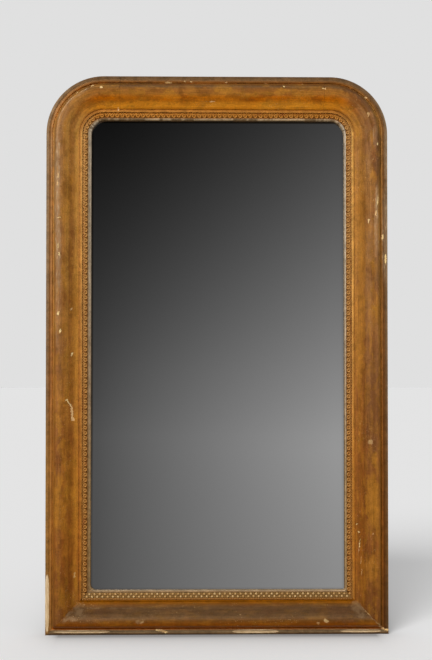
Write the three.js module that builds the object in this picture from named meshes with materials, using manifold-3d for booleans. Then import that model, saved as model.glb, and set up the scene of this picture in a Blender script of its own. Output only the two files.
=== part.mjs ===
// Pier mirror: a tall looking glass in a moulded, bronze-gilt pine frame with two rounded top corners.
// Millimetres, +Z up. The front looks along -Y, and the origin is at the middle of the base.
//
// The frame is two layers glued back to front: moulded lengths in front, flat pine boards behind.
// The moulding overhangs the boards at the sight opening, and that step is the rabbet for the glass.
// Inside the assembly, y = 0 is the plane where the two layers meet.
// "Inset" is a distance inwards from the outer edge, and "height" is a distance forwards of y = 0.

import * as THREE from "three";
import { mergeVertices } from "three/addons/utils/BufferGeometryUtils.js";
import Module from "manifold-3d";

// ---------------------------------------------------------------- driving dimensions

const frameWidth = 850;
const frameHeight = 1387;

// Moulding section, from the outer edge to the sight opening.
const edgeBandWidth = 9.5;
const edgeBandHeight = 16;
const astragalWidth = 7;
const astragalRise = 2.8;
const outerQuirkWidth = 2;
const outerQuirkDepth = 1.5;
const crestRun = 10.5;
const crestHeight = 38;
const ogeeConvexWidth = 28.5;
const ogeeMiddleHeight = 24.5;
const ogeeConcaveWidth = 23.5;
const ogeeFootHeight = 10;
const innerQuirkWidth = 2;
const innerQuirkDepth = 1.5;
const filletWidth = 6;
const filletHeight = 11.5;
const bedHeight = 6;
const bedWidth = 14;
const lipHeight = 9.5;
const lipRoll = 7;
const sightEdgeThickness = 3.5;

// The bottom rail has a narrow fillet and a wide bed, for its double row of pearls.
const bottomFilletWidth = 2;
const bottomBedWidth = 19;

// Lip widths from the bed to the sight opening, and the opening's corner radii.
const leftLipWidth = 9;
const rightLipWidth = 5.5;
const topLipWidth = 8;
const bottomLipWidth = 6;
const sightTopRadius = 38;
const sightBottomLeftRadius = 9;
const sightBottomRightRadius = 4;

// Rounded top corners: the bed's inner edge turns on this radius, and all other radii follow.
const cornerBedRadius = 41;
const leftBlockTail = 39;
const rightBlockTail = 14;

// Ornament strips.
const stripThickness = 1.5;
const ringPitch = 12.9;
const ringFootRadius = 5.6;
const ringTopRadius = 3.7;
const ringRise = 4;
const pearlFootRadius = 3.4;
const pearlTopRadius = 1.6;
const pearlRise = 3.6;
const pearlRowInset = 4.1;
const pearlRowSpacing = 6.8;
const cordRibWidth = 4.6;
const cordRibRise = 2.4;

// Carcass boards behind the moulding.
const carcassDepth = 22;
const carcassSetback = 2;
const glassBearing = 10;
const rebateWidth = 12;
const backboardThickness = 9;
const backboardCount = 5;
const backboardGap = 1.5;

// Mirror glass and the blocks that wedge it.
const glassThickness = 4;
const glassClearance = 1;
const blockLength = 45;
const blockWidth = 12;
const blockHeight = 8;
const blockToe = 2;
const sideBlockPlaces = [0.15, 0.5, 0.85];
const endBlockPlaces = [0.25, 0.75];

// Hanging hardware on the back of the two stiles.
const hangerDrop = 300;
const hangerInset = 44;
const strapWidth = 16;
const strapLength = 60;
const strapThickness = 2;
const knuckleLength = 14;
const knuckleWall = 2.1;
const ringWire = 4.4;
const ringBendRadius = 20;
const screwHeadRadius = 4;
const screwHeadHeight = 1.8;
const screwCrownRadius = 3.2;
const screwCrownHeight = 1.26;
const screwShankRadius = 2;
const screwLength = 18;
const screwEndMargin = 10;
const screwBelowRing = 1.8;

// Clearances.
const jointGap = 0.3;
const seatClearance = 0.3;
const hingeClearance = 0.3;
const ringClearance = 0.4;
const screwClearance = 0.3;
const backboardClearance = 0.5;

// Steps along curves.
const sectionSteps = 5;
const cornerSteps = 10;
const wireSides = 8;
const screwSides = 8;
const ringSides = 6;
const pearlSides = 4;

// ---------------------------------------------------------------- derived dimensions

const halfWidth = frameWidth / 2;
const quarterTurn = Math.PI / 2;

const astragalInset = edgeBandWidth;
const outerQuirkInset = astragalInset + astragalWidth;
const torusInset = outerQuirkInset + outerQuirkWidth;
const crestInset = torusInset + crestRun;
const ogeeMiddleInset = crestInset + ogeeConvexWidth;
const innerQuirkInset = ogeeMiddleInset + ogeeConcaveWidth;
const filletInset = innerQuirkInset + innerQuirkWidth;
const bedStart = filletInset + filletWidth;
const bedEnd = bedStart + bedWidth;
const bottomBedStart = filletInset + bottomFilletWidth;
const bottomBedEnd = bottomBedStart + bottomBedWidth;

const sightLeft = bedEnd + leftLipWidth;
const sightRight = bedEnd + rightLipWidth;
const sightTop = bedEnd + topLipWidth;
const sightBottom = bottomBedEnd + bottomLipWidth;
const widestLip = Math.max(leftLipWidth, rightLipWidth, topLipWidth, bottomLipWidth);

// The lip is made wider than it shows, so that the opening's own corner radii can be cut from it.
const topCornerSpare = Math.max(0, sightTopRadius - cornerBedRadius + widestLip) * (Math.SQRT2 - 1);
const bottomCornerSpare = Math.max(sightBottomLeftRadius, sightBottomRightRadius) / 2;
const lipReach = widestLip + Math.max(topCornerSpare, bottomCornerSpare);

const cornerRadius = bedEnd + cornerBedRadius;
const cornerCentreX = halfWidth - cornerRadius;
const cornerCentreZ = frameHeight - cornerRadius;

const rabbetInset = Math.min(sightLeft, sightRight, sightTop, sightBottom) - glassBearing;
const rabbetHalfWidth = halfWidth - rabbetInset;
const rabbetTop = frameHeight - rabbetInset;
const rebateInset = rabbetInset - rebateWidth;
const rebateHalfWidth = halfWidth - rebateInset;
const rebateTop = frameHeight - rebateInset;
const lapDepth = carcassDepth / 2;
const backboardFront = carcassDepth - backboardThickness;

const wireRadius = ringWire / 2;
const knuckleBore = wireRadius + hingeClearance;
const knuckleRadius = knuckleBore + knuckleWall;
const hingeStandOff = Math.max(knuckleRadius, strapThickness + ringClearance + wireRadius);
const hingeY = carcassDepth + hingeStandOff;
const hingeX = halfWidth - hangerInset;
const hingeZ = frameHeight - hangerDrop;

// Screw places, measured down from the hinge axis.
const upperScrewDrop = ringBendRadius + wireRadius + screwBelowRing + screwHeadRadius;
const lowerScrewDrop = strapLength - screwEndMargin;
const screwPlaces = [upperScrewDrop, lowerScrewDrop];

// Far more than the frame's depth, for cutting prisms that pass right through.
const throughDepth = 2 * (crestHeight + carcassDepth);

// ---------------------------------------------------------------- solids

const wasm = await Module();
wasm.setup();

function toSolid(geometry) {
  const bare = geometry.clone();
  bare.deleteAttribute("normal");
  bare.deleteAttribute("uv");
  const merged = mergeVertices(bare);
  const mesh = new wasm.Mesh({
    numProp: 3,
    vertProperties: merged.attributes.position.array,
    triVerts: new Uint32Array(merged.index.array),
  });
  return new wasm.Manifold(mesh);
}

function toGeometry(solid) {
  const mesh = solid.getMesh();
  const geometry = new THREE.BufferGeometry();
  geometry.setAttribute("position", new THREE.BufferAttribute(mesh.vertProperties, 3));
  geometry.setIndex(new THREE.BufferAttribute(mesh.triVerts, 1));
  geometry.computeVertexNormals();
  return geometry;
}

function join(solids) {
  return solids.reduce((whole, solid) => whole.add(solid));
}

// A box between two corners.
function boxBetween(low, high) {
  const size = low.map((value, axis) => high[axis] - value);
  const geometry = new THREE.BoxGeometry(...size);
  const centre = low.map((value, axis) => (value + high[axis]) / 2);
  return toSolid(geometry.translate(...centre));
}

// A prism of an outline in the plane of the frame (x, z), from y = front to y = back.
function planPrism(shape, front, back) {
  const geometry = new THREE.ExtrudeGeometry(shape, {
    depth: back - front,
    bevelEnabled: false,
    curveSegments: cornerSteps,
  });
  geometry.rotateX(quarterTurn);
  geometry.translate(0, back, 0);
  return toSolid(geometry);
}

function rectangle(left, bottom, right, top) {
  const corners = [[left, bottom], [right, bottom], [right, top], [left, top]];
  return new THREE.Shape(corners.map(([x, z]) => new THREE.Vector2(x, z)));
}

// A rectangle with a radius at each corner, in the order bottom left, bottom right, top right, top left.
function roundedRectangle(left, bottom, right, top, radii) {
  const [bottomLeft, bottomRight, topRight, topLeft] = radii;
  const shape = new THREE.Shape();
  shape.moveTo(left + bottomLeft, bottom);
  shape.lineTo(right - bottomRight, bottom);
  shape.absarc(right - bottomRight, bottom + bottomRight, bottomRight, -quarterTurn, 0);
  shape.lineTo(right, top - topRight);
  shape.absarc(right - topRight, top - topRight, topRight, 0, quarterTurn);
  shape.lineTo(left + topLeft, top);
  shape.absarc(left + topLeft, top - topLeft, topLeft, quarterTurn, 2 * quarterTurn);
  shape.lineTo(left, bottom + bottomLeft);
  shape.absarc(left + bottomLeft, bottom + bottomLeft, bottomLeft, 2 * quarterTurn, 3 * quarterTurn);
  return shape;
}

// ---------------------------------------------------------------- moulding

// The section, drawn with the inset along x (times sign) and the height along -y.
function mouldingSection(sign, bedFrom, bedTo) {
  const shape = new THREE.Shape();
  const at = (inset, height) => [sign * inset, -height];
  const astragalPull = (astragalRise * 4) / 3;
  const ogeePull = ogeeConvexWidth / 5;
  const lipEnd = bedTo + lipRoll;
  const reach = bedTo + lipReach;

  shape.moveTo(...at(0, 0));
  shape.lineTo(...at(0, edgeBandHeight));
  shape.lineTo(...at(astragalInset, edgeBandHeight));
  shape.bezierCurveTo(
    ...at(astragalInset, edgeBandHeight + astragalPull),
    ...at(outerQuirkInset, edgeBandHeight + astragalPull),
    ...at(outerQuirkInset, edgeBandHeight),
  );
  shape.lineTo(...at(outerQuirkInset, edgeBandHeight - outerQuirkDepth));
  shape.lineTo(...at(torusInset, edgeBandHeight - outerQuirkDepth));
  shape.bezierCurveTo(
    ...at(torusInset, crestHeight - crestRun),
    ...at(crestInset - crestRun / 2, crestHeight),
    ...at(crestInset, crestHeight),
  );
  shape.bezierCurveTo(
    ...at(crestInset + ogeeConvexWidth / 2, crestHeight),
    ...at(ogeeMiddleInset - ogeePull, ogeeMiddleHeight + ogeePull),
    ...at(ogeeMiddleInset, ogeeMiddleHeight),
  );
  shape.bezierCurveTo(
    ...at(ogeeMiddleInset + ogeePull, ogeeMiddleHeight - ogeePull),
    ...at(innerQuirkInset - ogeeConcaveWidth / 2, ogeeFootHeight),
    ...at(innerQuirkInset, ogeeFootHeight),
  );
  shape.lineTo(...at(innerQuirkInset, ogeeFootHeight - innerQuirkDepth));
  shape.lineTo(...at(filletInset, ogeeFootHeight - innerQuirkDepth));
  shape.lineTo(...at(filletInset, filletHeight));
  shape.lineTo(...at(bedFrom, filletHeight));
  shape.lineTo(...at(bedFrom, bedHeight));
  shape.lineTo(...at(bedTo, bedHeight));
  shape.lineTo(...at(bedTo, lipHeight));
  shape.quadraticCurveTo(...at(lipEnd, lipHeight), ...at(lipEnd, sightEdgeThickness));
  shape.lineTo(...at(reach, sightEdgeThickness));
  shape.lineTo(...at(reach, 0));
  shape.closePath();
  return shape;
}

function extrudeSection(shape, length) {
  return new THREE.ExtrudeGeometry(shape, {
    depth: length,
    bevelEnabled: false,
    curveSegments: sectionSteps,
  });
}

// Upright moulding on the left (side -1) or right (side 1), from z = bottom to z = top.
function uprightMoulding(side, bottom, top) {
  const geometry = extrudeSection(mouldingSection(-side, bedStart, bedEnd), top - bottom);
  return toSolid(geometry.translate(side * halfWidth, 0, bottom));
}

// Level moulding from x = left to x = right, along the top edge or the bottom edge.
function topMoulding(left, right) {
  const geometry = extrudeSection(mouldingSection(1, bedStart, bedEnd), right - left);
  return toSolid(geometry.rotateY(quarterTurn).translate(left, 0, frameHeight));
}

function bottomMoulding(left, right) {
  const geometry = extrudeSection(mouldingSection(-1, bottomBedStart, bottomBedEnd), right - left);
  return toSolid(geometry.rotateY(quarterTurn).translate(left, 0, 0));
}

// A quarter turn of a section about the centre of a rounded top corner.
function cornerTurn(side, points) {
  const counterclockwise = THREE.ShapeUtils.area(points) > 0;
  const outline = counterclockwise ? points : [...points].reverse();
  const closed = [...outline, outline[0]];
  const ring = new THREE.LatheGeometry(closed, 4 * cornerSteps);
  ring.translate(side * cornerCentreX, 0, cornerCentreZ);
  const outer = side * (halfWidth + cornerRadius);
  const inner = side * cornerCentreX;
  const quarter = rectangle(
    Math.min(outer, inner),
    cornerCentreZ,
    Math.max(outer, inner),
    frameHeight + cornerRadius,
  );
  return toSolid(ring).intersect(planPrism(quarter, -throughDepth, throughDepth));
}

function mouldingTurn(side) {
  const section = mouldingSection(1, bedStart, bedEnd).extractPoints(sectionSteps).shape;
  const radial = section.map((point) => new THREE.Vector2(cornerRadius - point.x, point.y));
  return cornerTurn(side, radial);
}

// The sight opening, cut through every piece of moulding.
const sightOpening = planPrism(
  roundedRectangle(
    -halfWidth + sightLeft,
    sightBottom,
    halfWidth - sightRight,
    frameHeight - sightTop,
    [sightBottomLeftRadius, sightBottomRightRadius, sightTopRadius, sightTopRadius],
  ),
  -throughDepth,
  throughDepth,
);

// The bottom rail's outline in plan, mitred at both ends: gap is taken off each mitre.
// It runs on below the base, so that the mitres start cleanly there.
function mitreOutline(gap) {
  const level = gap * Math.SQRT2;
  const rise = bottomBedEnd + lipReach + cornerRadius;
  const corners = [
    [-halfWidth + level - rise, -rise],
    [halfWidth - level + rise, -rise],
    [halfWidth - level - rise, rise],
    [-halfWidth + level + rise, rise],
  ];
  return new THREE.Shape(corners.map(([x, z]) => new THREE.Vector2(x, z)));
}

const leftBlockEndX = -cornerCentreX + leftBlockTail;
const rightBlockEndX = cornerCentreX - rightBlockTail;

const bottomStripHalf = halfWidth - bedStart - seatClearance;
const bottomStripLow = bottomBedStart + seatClearance;
const bottomStripHigh = bottomBedEnd - seatClearance;

// Room for the bottom strip's ends where they run over the stiles' beds.
const bottomStripPocket = boxBetween(
  [-bottomStripHalf - seatClearance, -crestHeight, bottomStripLow - seatClearance],
  [bottomStripHalf + seatClearance, -bedHeight, bottomStripHigh + seatClearance],
);

function stileMoulding(side, tail) {
  const top = cornerCentreZ - tail - jointGap;
  return uprightMoulding(side, 0, top)
    .subtract(planPrism(mitreOutline(0), -throughDepth, throughDepth))
    .subtract(bottomStripPocket)
    .subtract(sightOpening);
}

function cornerBlock(side, tail) {
  const start = side * cornerCentreX;
  const end = start - side * tail;
  const level = topMoulding(Math.min(start, end), Math.max(start, end));
  const upright = uprightMoulding(side, cornerCentreZ - tail, cornerCentreZ);
  return join([mouldingTurn(side), level, upright]).subtract(sightOpening);
}

const topRail = topMoulding(leftBlockEndX + jointGap, rightBlockEndX - jointGap).subtract(sightOpening);
const bottomRail = bottomMoulding(-halfWidth, halfWidth)
  .intersect(planPrism(mitreOutline(jointGap), -throughDepth, throughDepth))
  .subtract(bottomStripPocket)
  .subtract(sightOpening);

// ---------------------------------------------------------------- ornament strips

// A tapered stud on the face of a strip, its foot sunk half the strip's thickness.
function stud(x, z, footRadius, topRadius, rise, sides) {
  const sink = stripThickness / 2;
  const geometry = new THREE.CylinderGeometry(footRadius, topRadius, rise + sink, sides);
  geometry.translate(x, -stripThickness + sink - (rise + sink) / 2, z);
  return toSolid(geometry);
}

// Places of count studs spread evenly over a length, from its middle.
function evenPlaces(length, pitch) {
  const count = Math.max(1, Math.round(length / pitch));
  const step = length / count;
  return Array.from({ length: count }, (_, index) => (index + 0.5) * step - length / 2);
}

// A straight strip along x, its back on y = 0 and its width along z.
function stripSlab(length, width) {
  return boxBetween([-length / 2, -stripThickness, -width / 2], [length / 2, 0, width / 2]);
}

function ringStrip(length) {
  const slab = stripSlab(length, bedWidth - 2 * seatClearance);
  const rings = evenPlaces(length, ringPitch).map((x) =>
    stud(x, 0, ringFootRadius, ringTopRadius, ringRise, ringSides),
  );
  return join([slab, ...rings]);
}

function pearlStrip(length) {
  const width = bottomStripHigh - bottomStripLow;
  const upperRow = width / 2 - pearlRowInset;
  const lowerRow = upperRow - pearlRowSpacing;
  const ribLow = -width / 2;
  const places = evenPlaces(length, ringPitch);
  const stagger = (places[1] - places[0]) / 2;
  const upper = places.map((x) =>
    stud(x, upperRow, pearlFootRadius, pearlTopRadius, pearlRise, pearlSides),
  );
  const lower = places.slice(0, -1).map((x) =>
    stud(x + stagger, lowerRow, pearlFootRadius, pearlTopRadius, pearlRise, pearlSides),
  );
  const rib = boxBetween(
    [-length / 2, -stripThickness - cordRibRise, ribLow],
    [length / 2, -stripThickness / 2, ribLow + cordRibWidth],
  );
  return join([stripSlab(length, width), rib, ...upper, ...lower]);
}

// The strip round a top corner, in place, with a joint gap at each end.
function curvedStrip(side) {
  const outer = cornerRadius - bedStart - seatClearance;
  const inner = cornerRadius - bedEnd + seatClearance;
  const section = [
    [inner, -bedHeight - stripThickness],
    [outer, -bedHeight - stripThickness],
    [outer, -bedHeight],
    [inner, -bedHeight],
  ].map(([radius, y]) => new THREE.Vector2(radius, y));
  const middle = (inner + outer) / 2;
  const angles = evenPlaces(middle * quarterTurn, ringPitch).map((arc) => arc / middle + quarterTurn / 2);
  const rings = angles.map((angle) => {
    const x = side * (cornerCentreX + middle * Math.cos(angle));
    const z = cornerCentreZ + middle * Math.sin(angle);
    const geometry = toGeometry(stud(0, 0, ringFootRadius, ringTopRadius, ringRise, ringSides));
    return toSolid(geometry.rotateY(-side * angle).translate(x, -bedHeight, z));
  });
  const ends = rectangle(
    -cornerCentreX - jointGap,
    cornerCentreZ - cornerRadius,
    cornerCentreX + jointGap,
    frameHeight,
  );
  const foot = rectangle(-halfWidth, cornerCentreZ - cornerRadius, halfWidth, cornerCentreZ + jointGap);
  return join([cornerTurn(side, section), ...rings])
    .subtract(planPrism(ends, -throughDepth, throughDepth))
    .subtract(planPrism(foot, -throughDepth, throughDepth));
}

// ---------------------------------------------------------------- carcass

const carcassOutline = planPrism(
  roundedRectangle(
    -halfWidth + carcassSetback,
    -throughDepth,
    halfWidth - carcassSetback,
    frameHeight - carcassSetback,
    [carcassSetback, carcassSetback, cornerRadius - carcassSetback, cornerRadius - carcassSetback],
  ),
  -throughDepth,
  throughDepth,
);

const backRebate = boxBetween(
  [-rebateHalfWidth, backboardFront, rebateInset],
  [rebateHalfWidth, throughDepth, rebateTop],
);

// Upright boards keep the back half of each lap, and level boards keep the front half.
function uprightBoard(side) {
  const inner = side * rabbetHalfWidth;
  const outer = side * halfWidth;
  const left = Math.min(inner, outer);
  const right = Math.max(inner, outer);
  const lowLap = boxBetween([left, -throughDepth, -throughDepth], [right, lapDepth, rabbetInset]);
  const highLap = boxBetween([left, -throughDepth, rabbetTop], [right, lapDepth, 2 * frameHeight]);
  return boxBetween([left, 0, 0], [right, carcassDepth, frameHeight])
    .subtract(lowLap)
    .subtract(highLap)
    .subtract(backRebate)
    .intersect(carcassOutline);
}

function levelBoard(bottom, top) {
  const laps = [-1, 1].map((side) => {
    const inner = side * rabbetHalfWidth;
    const outer = side * frameWidth;
    return boxBetween(
      [Math.min(inner, outer), lapDepth, bottom - throughDepth],
      [Math.max(inner, outer), throughDepth, top + throughDepth],
    );
  });
  return boxBetween([-halfWidth, 0, bottom], [halfWidth, carcassDepth, top])
    .subtract(laps[0])
    .subtract(laps[1])
    .subtract(backRebate)
    .intersect(carcassOutline);
}

// A blind hole for a hanger screw, bored from the back face.
function screwHole(x, z, front, back) {
  const radius = screwShankRadius + screwClearance;
  const geometry = new THREE.CylinderGeometry(radius, radius, back - front, screwSides);
  return toSolid(geometry.translate(x, (front + back) / 2, z));
}

function boredUpright(side) {
  const front = carcassDepth + strapThickness - screwLength - screwClearance;
  const holes = screwPlaces.map((drop) =>
    screwHole(side * hingeX, hingeZ - drop, front, carcassDepth + strapThickness),
  );
  return holes.reduce((board, hole) => board.subtract(hole), uprightBoard(side));
}

// ---------------------------------------------------------------- glass, blocks and backboards

const glassWidth = 2 * (rabbetHalfWidth - glassClearance);
const glassHeight = rabbetTop - rabbetInset - 2 * glassClearance;

// A wedge block along x: one leg of its triangle lies on the glass and the other on the rabbet wall.
function blockGeometry() {
  const corners = [
    [0, 0],
    [blockWidth, 0],
    [blockWidth, blockToe],
    [blockToe, blockHeight],
    [0, blockHeight],
  ];
  const section = new THREE.Shape(corners.map(([z, y]) => new THREE.Vector2(-z, y)));
  const geometry = new THREE.ExtrudeGeometry(section, { depth: blockLength, bevelEnabled: false });
  geometry.translate(0, glassThickness, -blockLength / 2);
  return geometry.rotateY(quarterTurn);
}

const backboardWidth = 2 * (rebateHalfWidth - backboardClearance);
const backboardStack = rebateTop - rebateInset - 2 * backboardClearance;
const backboardHeight = (backboardStack - (backboardCount - 1) * backboardGap) / backboardCount;

// ---------------------------------------------------------------- hanging hardware

// Strap with a knuckle at its top, about the hinge axis at the origin.
function strapSolid() {
  const back = -hingeStandOff;
  const plate = boxBetween(
    [-strapWidth / 2, back, -strapLength],
    [strapWidth / 2, back + strapThickness, 0],
  );
  const tube = new THREE.CylinderGeometry(knuckleRadius, knuckleRadius, knuckleLength, 2 * screwSides);
  const bore = new THREE.CylinderGeometry(knuckleBore, knuckleBore, 2 * strapWidth, 2 * screwSides);
  const holes = screwPlaces.map((drop) =>
    screwHole(0, -drop, back - strapThickness, back + 2 * strapThickness),
  );
  const eye = toSolid(tube.rotateZ(quarterTurn));
  const bored = join([plate, eye]).subtract(toSolid(bore.rotateZ(quarterTurn)));
  return holes.reduce((strap, hole) => strap.subtract(hole), bored);
}

// A wire ring with one straight side, which is its hinge pin, hanging below the axis.
function hangingRing() {
  const turn = Array.from({ length: wireSides + 1 }, (_, index) => {
    const angle = (index / wireSides) * 2 * Math.PI;
    return new THREE.Vector2(
      ringBendRadius + wireRadius * Math.cos(angle),
      wireRadius * Math.sin(angle),
    );
  });
  const hoop = toSolid(new THREE.LatheGeometry(turn, 3 * wireSides));
  const lower = rectangle(-2 * ringBendRadius, -2 * ringBendRadius, 2 * ringBendRadius, 0);
  const bow = hoop.intersect(planPrism(lower, -ringBendRadius, ringBendRadius));
  const pin = new THREE.CylinderGeometry(wireRadius, wireRadius, 2 * ringBendRadius, wireSides);
  const shoulders = [-1, 1].map((side) => {
    const ball = new THREE.SphereGeometry(wireRadius, wireSides, wireSides / 2 + 2);
    return toSolid(ball.translate(side * ringBendRadius, 0, 0));
  });
  return join([bow, toSolid(pin.rotateZ(quarterTurn)), ...shoulders]);
}

// A round-headed screw along y: the head is behind y = 0 and the shank runs forwards.
function screwGeometry() {
  const profile = [
    [0, -screwLength],
    [screwShankRadius / 2, -screwLength + screwShankRadius],
    [screwShankRadius, -screwLength + 2 * screwShankRadius],
    [screwShankRadius, 0],
    [screwHeadRadius, 0],
    [screwCrownRadius, screwCrownHeight],
    [0, screwHeadHeight],
  ].map(([radius, y]) => new THREE.Vector2(radius, y));
  return new THREE.LatheGeometry(profile, screwSides);
}

// ---------------------------------------------------------------- assembly

const pierMirror = new THREE.Group();
pierMirror.position.y = (crestHeight - hingeY - knuckleRadius) / 2;

const finishes = {
  gilt: { color: "#8a5a2c", roughness: 0.42, metalness: 0.25 },
  ornament: { color: "#9c6b36", roughness: 0.45, metalness: 0.25 },
  pine: { color: "#a8794a", roughness: 0.8, metalness: 0 },
  backing: { color: "#94683f", roughness: 0.85, metalness: 0 },
  mirror: { color: "#c9ccce", roughness: 0.05, metalness: 1 },
  iron: { color: "#3d3935", roughness: 0.6, metalness: 0.8 },
};

function addPiece(name, geometry, finish, parent = pierMirror) {
  const mesh = new THREE.Mesh(geometry, new THREE.MeshStandardMaterial(finishes[finish]));
  mesh.name = name;
  parent.add(mesh);
  return mesh;
}

addPiece("left_stile_moulding", toGeometry(stileMoulding(-1, leftBlockTail)), "gilt");
addPiece("right_stile_moulding", toGeometry(stileMoulding(1, rightBlockTail)), "gilt");
addPiece("top_left_corner_block", toGeometry(cornerBlock(-1, leftBlockTail)), "gilt");
addPiece("top_right_corner_block", toGeometry(cornerBlock(1, rightBlockTail)), "gilt");
addPiece("top_rail_moulding", toGeometry(topRail), "gilt");
addPiece("bottom_rail_moulding", toGeometry(bottomRail), "gilt");

const sideStripFoot = bottomStripHigh + seatClearance;
const sideStripGeometry = toGeometry(ringStrip(cornerCentreZ - sideStripFoot));
const stripMiddle = (bedStart + bedEnd) / 2;

for (const [name, side] of [["left", -1], ["right", 1]]) {
  const strip = addPiece(`${name}_ring_strip`, sideStripGeometry.clone(), "ornament");
  strip.rotation.y = quarterTurn;
  strip.position.set(side * (halfWidth - stripMiddle), -bedHeight, (cornerCentreZ + sideStripFoot) / 2);
  addPiece(`top_${name}_ring_curve`, toGeometry(curvedStrip(side)), "ornament");
}

const topStrip = addPiece("top_ring_strip", toGeometry(ringStrip(2 * cornerCentreX)), "ornament");
topStrip.position.set(0, -bedHeight, frameHeight - stripMiddle);

const bottomStrip = addPiece("bottom_pearl_strip", toGeometry(pearlStrip(2 * bottomStripHalf)), "ornament");
bottomStrip.position.set(0, -bedHeight, (bottomStripLow + bottomStripHigh) / 2);

addPiece("left_carcass_board", toGeometry(boredUpright(-1)), "pine");
addPiece("right_carcass_board", toGeometry(boredUpright(1)), "pine");
addPiece("bottom_carcass_board", toGeometry(levelBoard(0, rabbetInset)), "pine");
addPiece("top_carcass_board", toGeometry(levelBoard(rabbetTop, frameHeight)), "pine");

const glass = addPiece(
  "mirror_glass",
  new THREE.BoxGeometry(glassWidth, glassThickness, glassHeight),
  "mirror",
);
glass.position.set(0, glassThickness / 2, (rabbetInset + rabbetTop) / 2);

// Blocks stand against the rabbet wall: each is turned so that its leg lies on its own side's wall.
const blockSeats = [
  ...sideBlockPlaces.map((place) => ({ side: "left", place, turn: quarterTurn })),
  ...sideBlockPlaces.map((place) => ({ side: "right", place, turn: -quarterTurn })),
  ...endBlockPlaces.map((place) => ({ side: "top", place, turn: 2 * quarterTurn })),
  ...endBlockPlaces.map((place) => ({ side: "bottom", place, turn: 0 })),
];
const rabbetHeight = rabbetTop - rabbetInset;
const blockPositions = {
  left: (place) => [-rabbetHalfWidth, rabbetInset + place * rabbetHeight],
  right: (place) => [rabbetHalfWidth, rabbetInset + place * rabbetHeight],
  top: (place) => [(2 * place - 1) * rabbetHalfWidth, rabbetTop],
  bottom: (place) => [(2 * place - 1) * rabbetHalfWidth, rabbetInset],
};

blockSeats.forEach(({ side, place, turn }, index) => {
  const [x, z] = blockPositions[side](place);
  const block = addPiece(`glass_block_${index + 1}`, blockGeometry(), "pine");
  block.rotation.y = turn;
  block.position.set(x, 0, z);
});

for (let index = 0; index < backboardCount; index += 1) {
  const board = addPiece(
    `backboard_${index + 1}`,
    new THREE.BoxGeometry(backboardWidth, backboardThickness, backboardHeight),
    "backing",
  );
  const low = rebateInset + backboardClearance + index * (backboardHeight + backboardGap);
  board.position.set(0, backboardFront + backboardThickness / 2, low + backboardHeight / 2);
}

for (const [name, side] of [["left", -1], ["right", 1]]) {
  const hanger = new THREE.Group();
  hanger.position.set(side * hingeX, hingeY, hingeZ);
  pierMirror.add(hanger);
  addPiece(`${name}_hanger_strap`, toGeometry(strapSolid()), "iron", hanger);
  addPiece(`${name}_hanging_ring`, toGeometry(hangingRing()), "iron", hanger);
  screwPlaces.forEach((drop, index) => {
    const screw = addPiece(`${name}_hanger_screw_${index + 1}`, screwGeometry(), "iron", hanger);
    screw.position.set(0, strapThickness - hingeStandOff, -drop);
  });
}

export default pierMirror;
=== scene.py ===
# Pier mirror: a tall looking glass in a moulded, bronze-gilt pine frame with two rounded top corners.
# The front looks along -Y. Sizes are written in millimetres and become metres where a mesh is made.
import math

import bpy
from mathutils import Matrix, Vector
from mathutils.geometry import interpolate_bezier


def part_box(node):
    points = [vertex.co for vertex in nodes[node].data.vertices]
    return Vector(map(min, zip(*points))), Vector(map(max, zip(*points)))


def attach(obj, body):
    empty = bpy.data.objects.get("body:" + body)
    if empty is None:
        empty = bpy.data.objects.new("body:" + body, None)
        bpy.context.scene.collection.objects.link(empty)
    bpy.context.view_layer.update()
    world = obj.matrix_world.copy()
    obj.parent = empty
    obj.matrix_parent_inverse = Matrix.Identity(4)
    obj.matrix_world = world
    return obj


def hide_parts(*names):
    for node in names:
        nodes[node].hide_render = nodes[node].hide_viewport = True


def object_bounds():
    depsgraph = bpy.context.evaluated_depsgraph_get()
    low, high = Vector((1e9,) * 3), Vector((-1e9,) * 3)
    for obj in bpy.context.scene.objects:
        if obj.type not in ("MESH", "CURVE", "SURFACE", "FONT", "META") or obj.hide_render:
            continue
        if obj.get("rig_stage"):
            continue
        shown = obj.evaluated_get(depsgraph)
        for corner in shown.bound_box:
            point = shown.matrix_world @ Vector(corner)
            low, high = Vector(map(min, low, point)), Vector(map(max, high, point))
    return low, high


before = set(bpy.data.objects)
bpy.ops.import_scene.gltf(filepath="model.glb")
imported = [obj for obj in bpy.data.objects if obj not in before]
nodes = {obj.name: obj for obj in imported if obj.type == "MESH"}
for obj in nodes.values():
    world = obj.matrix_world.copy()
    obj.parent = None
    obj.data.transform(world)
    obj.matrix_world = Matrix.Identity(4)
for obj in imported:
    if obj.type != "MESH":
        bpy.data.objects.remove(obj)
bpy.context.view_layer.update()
bpy.ops.object.select_all(action="DESELECT")

MM = 0.001
QUARTER = math.pi / 2
SAME_POINT = 0.00001  # points closer than this, in metres, are merged

# ---------------------------------------------------------------- sizes

HALF_WIDTH = 425
HEIGHT = 1387
MOULDING_BACK = 3.4  # the plane where moulding and carcass meet, along Y
CARCASS_BACK = 25.4

BAND_HEIGHT = 16  # the flat band at the outer edge of the moulding
CREST_HEIGHT = 38
BED_START = 89
BED_END = 103
BOTTOM_BED_START = 85
BOTTOM_BED_END = 104
BED_HEIGHT = 6
FILLET_HEIGHT = 11.5
LIP_WIDTHS = {"left": 9, "right": 5.5, "top": 8, "bottom": 6}

CORNER_RADIUS = 144
CORNER_X = HALF_WIDTH - CORNER_RADIUS
CORNER_Z = HEIGHT - CORNER_RADIUS
LEFT_TAIL = 39
RIGHT_TAIL = 14
JOINT_GAP = 0.3
SPARE = 4  # extra length that is cut off once the edges are softened, so that a glued joint stays closed

SIGHT = {"left": -313, "right": 316.5, "bottom": 110, "top": 1276}
SIGHT_RADII = {"top": 38, "bottom_left": 15, "bottom_right": 4}

STRIP_BACK = 2.6  # how far the beds of the strips lie in front of y = 0
RING_PITCH = 12.9

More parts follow.
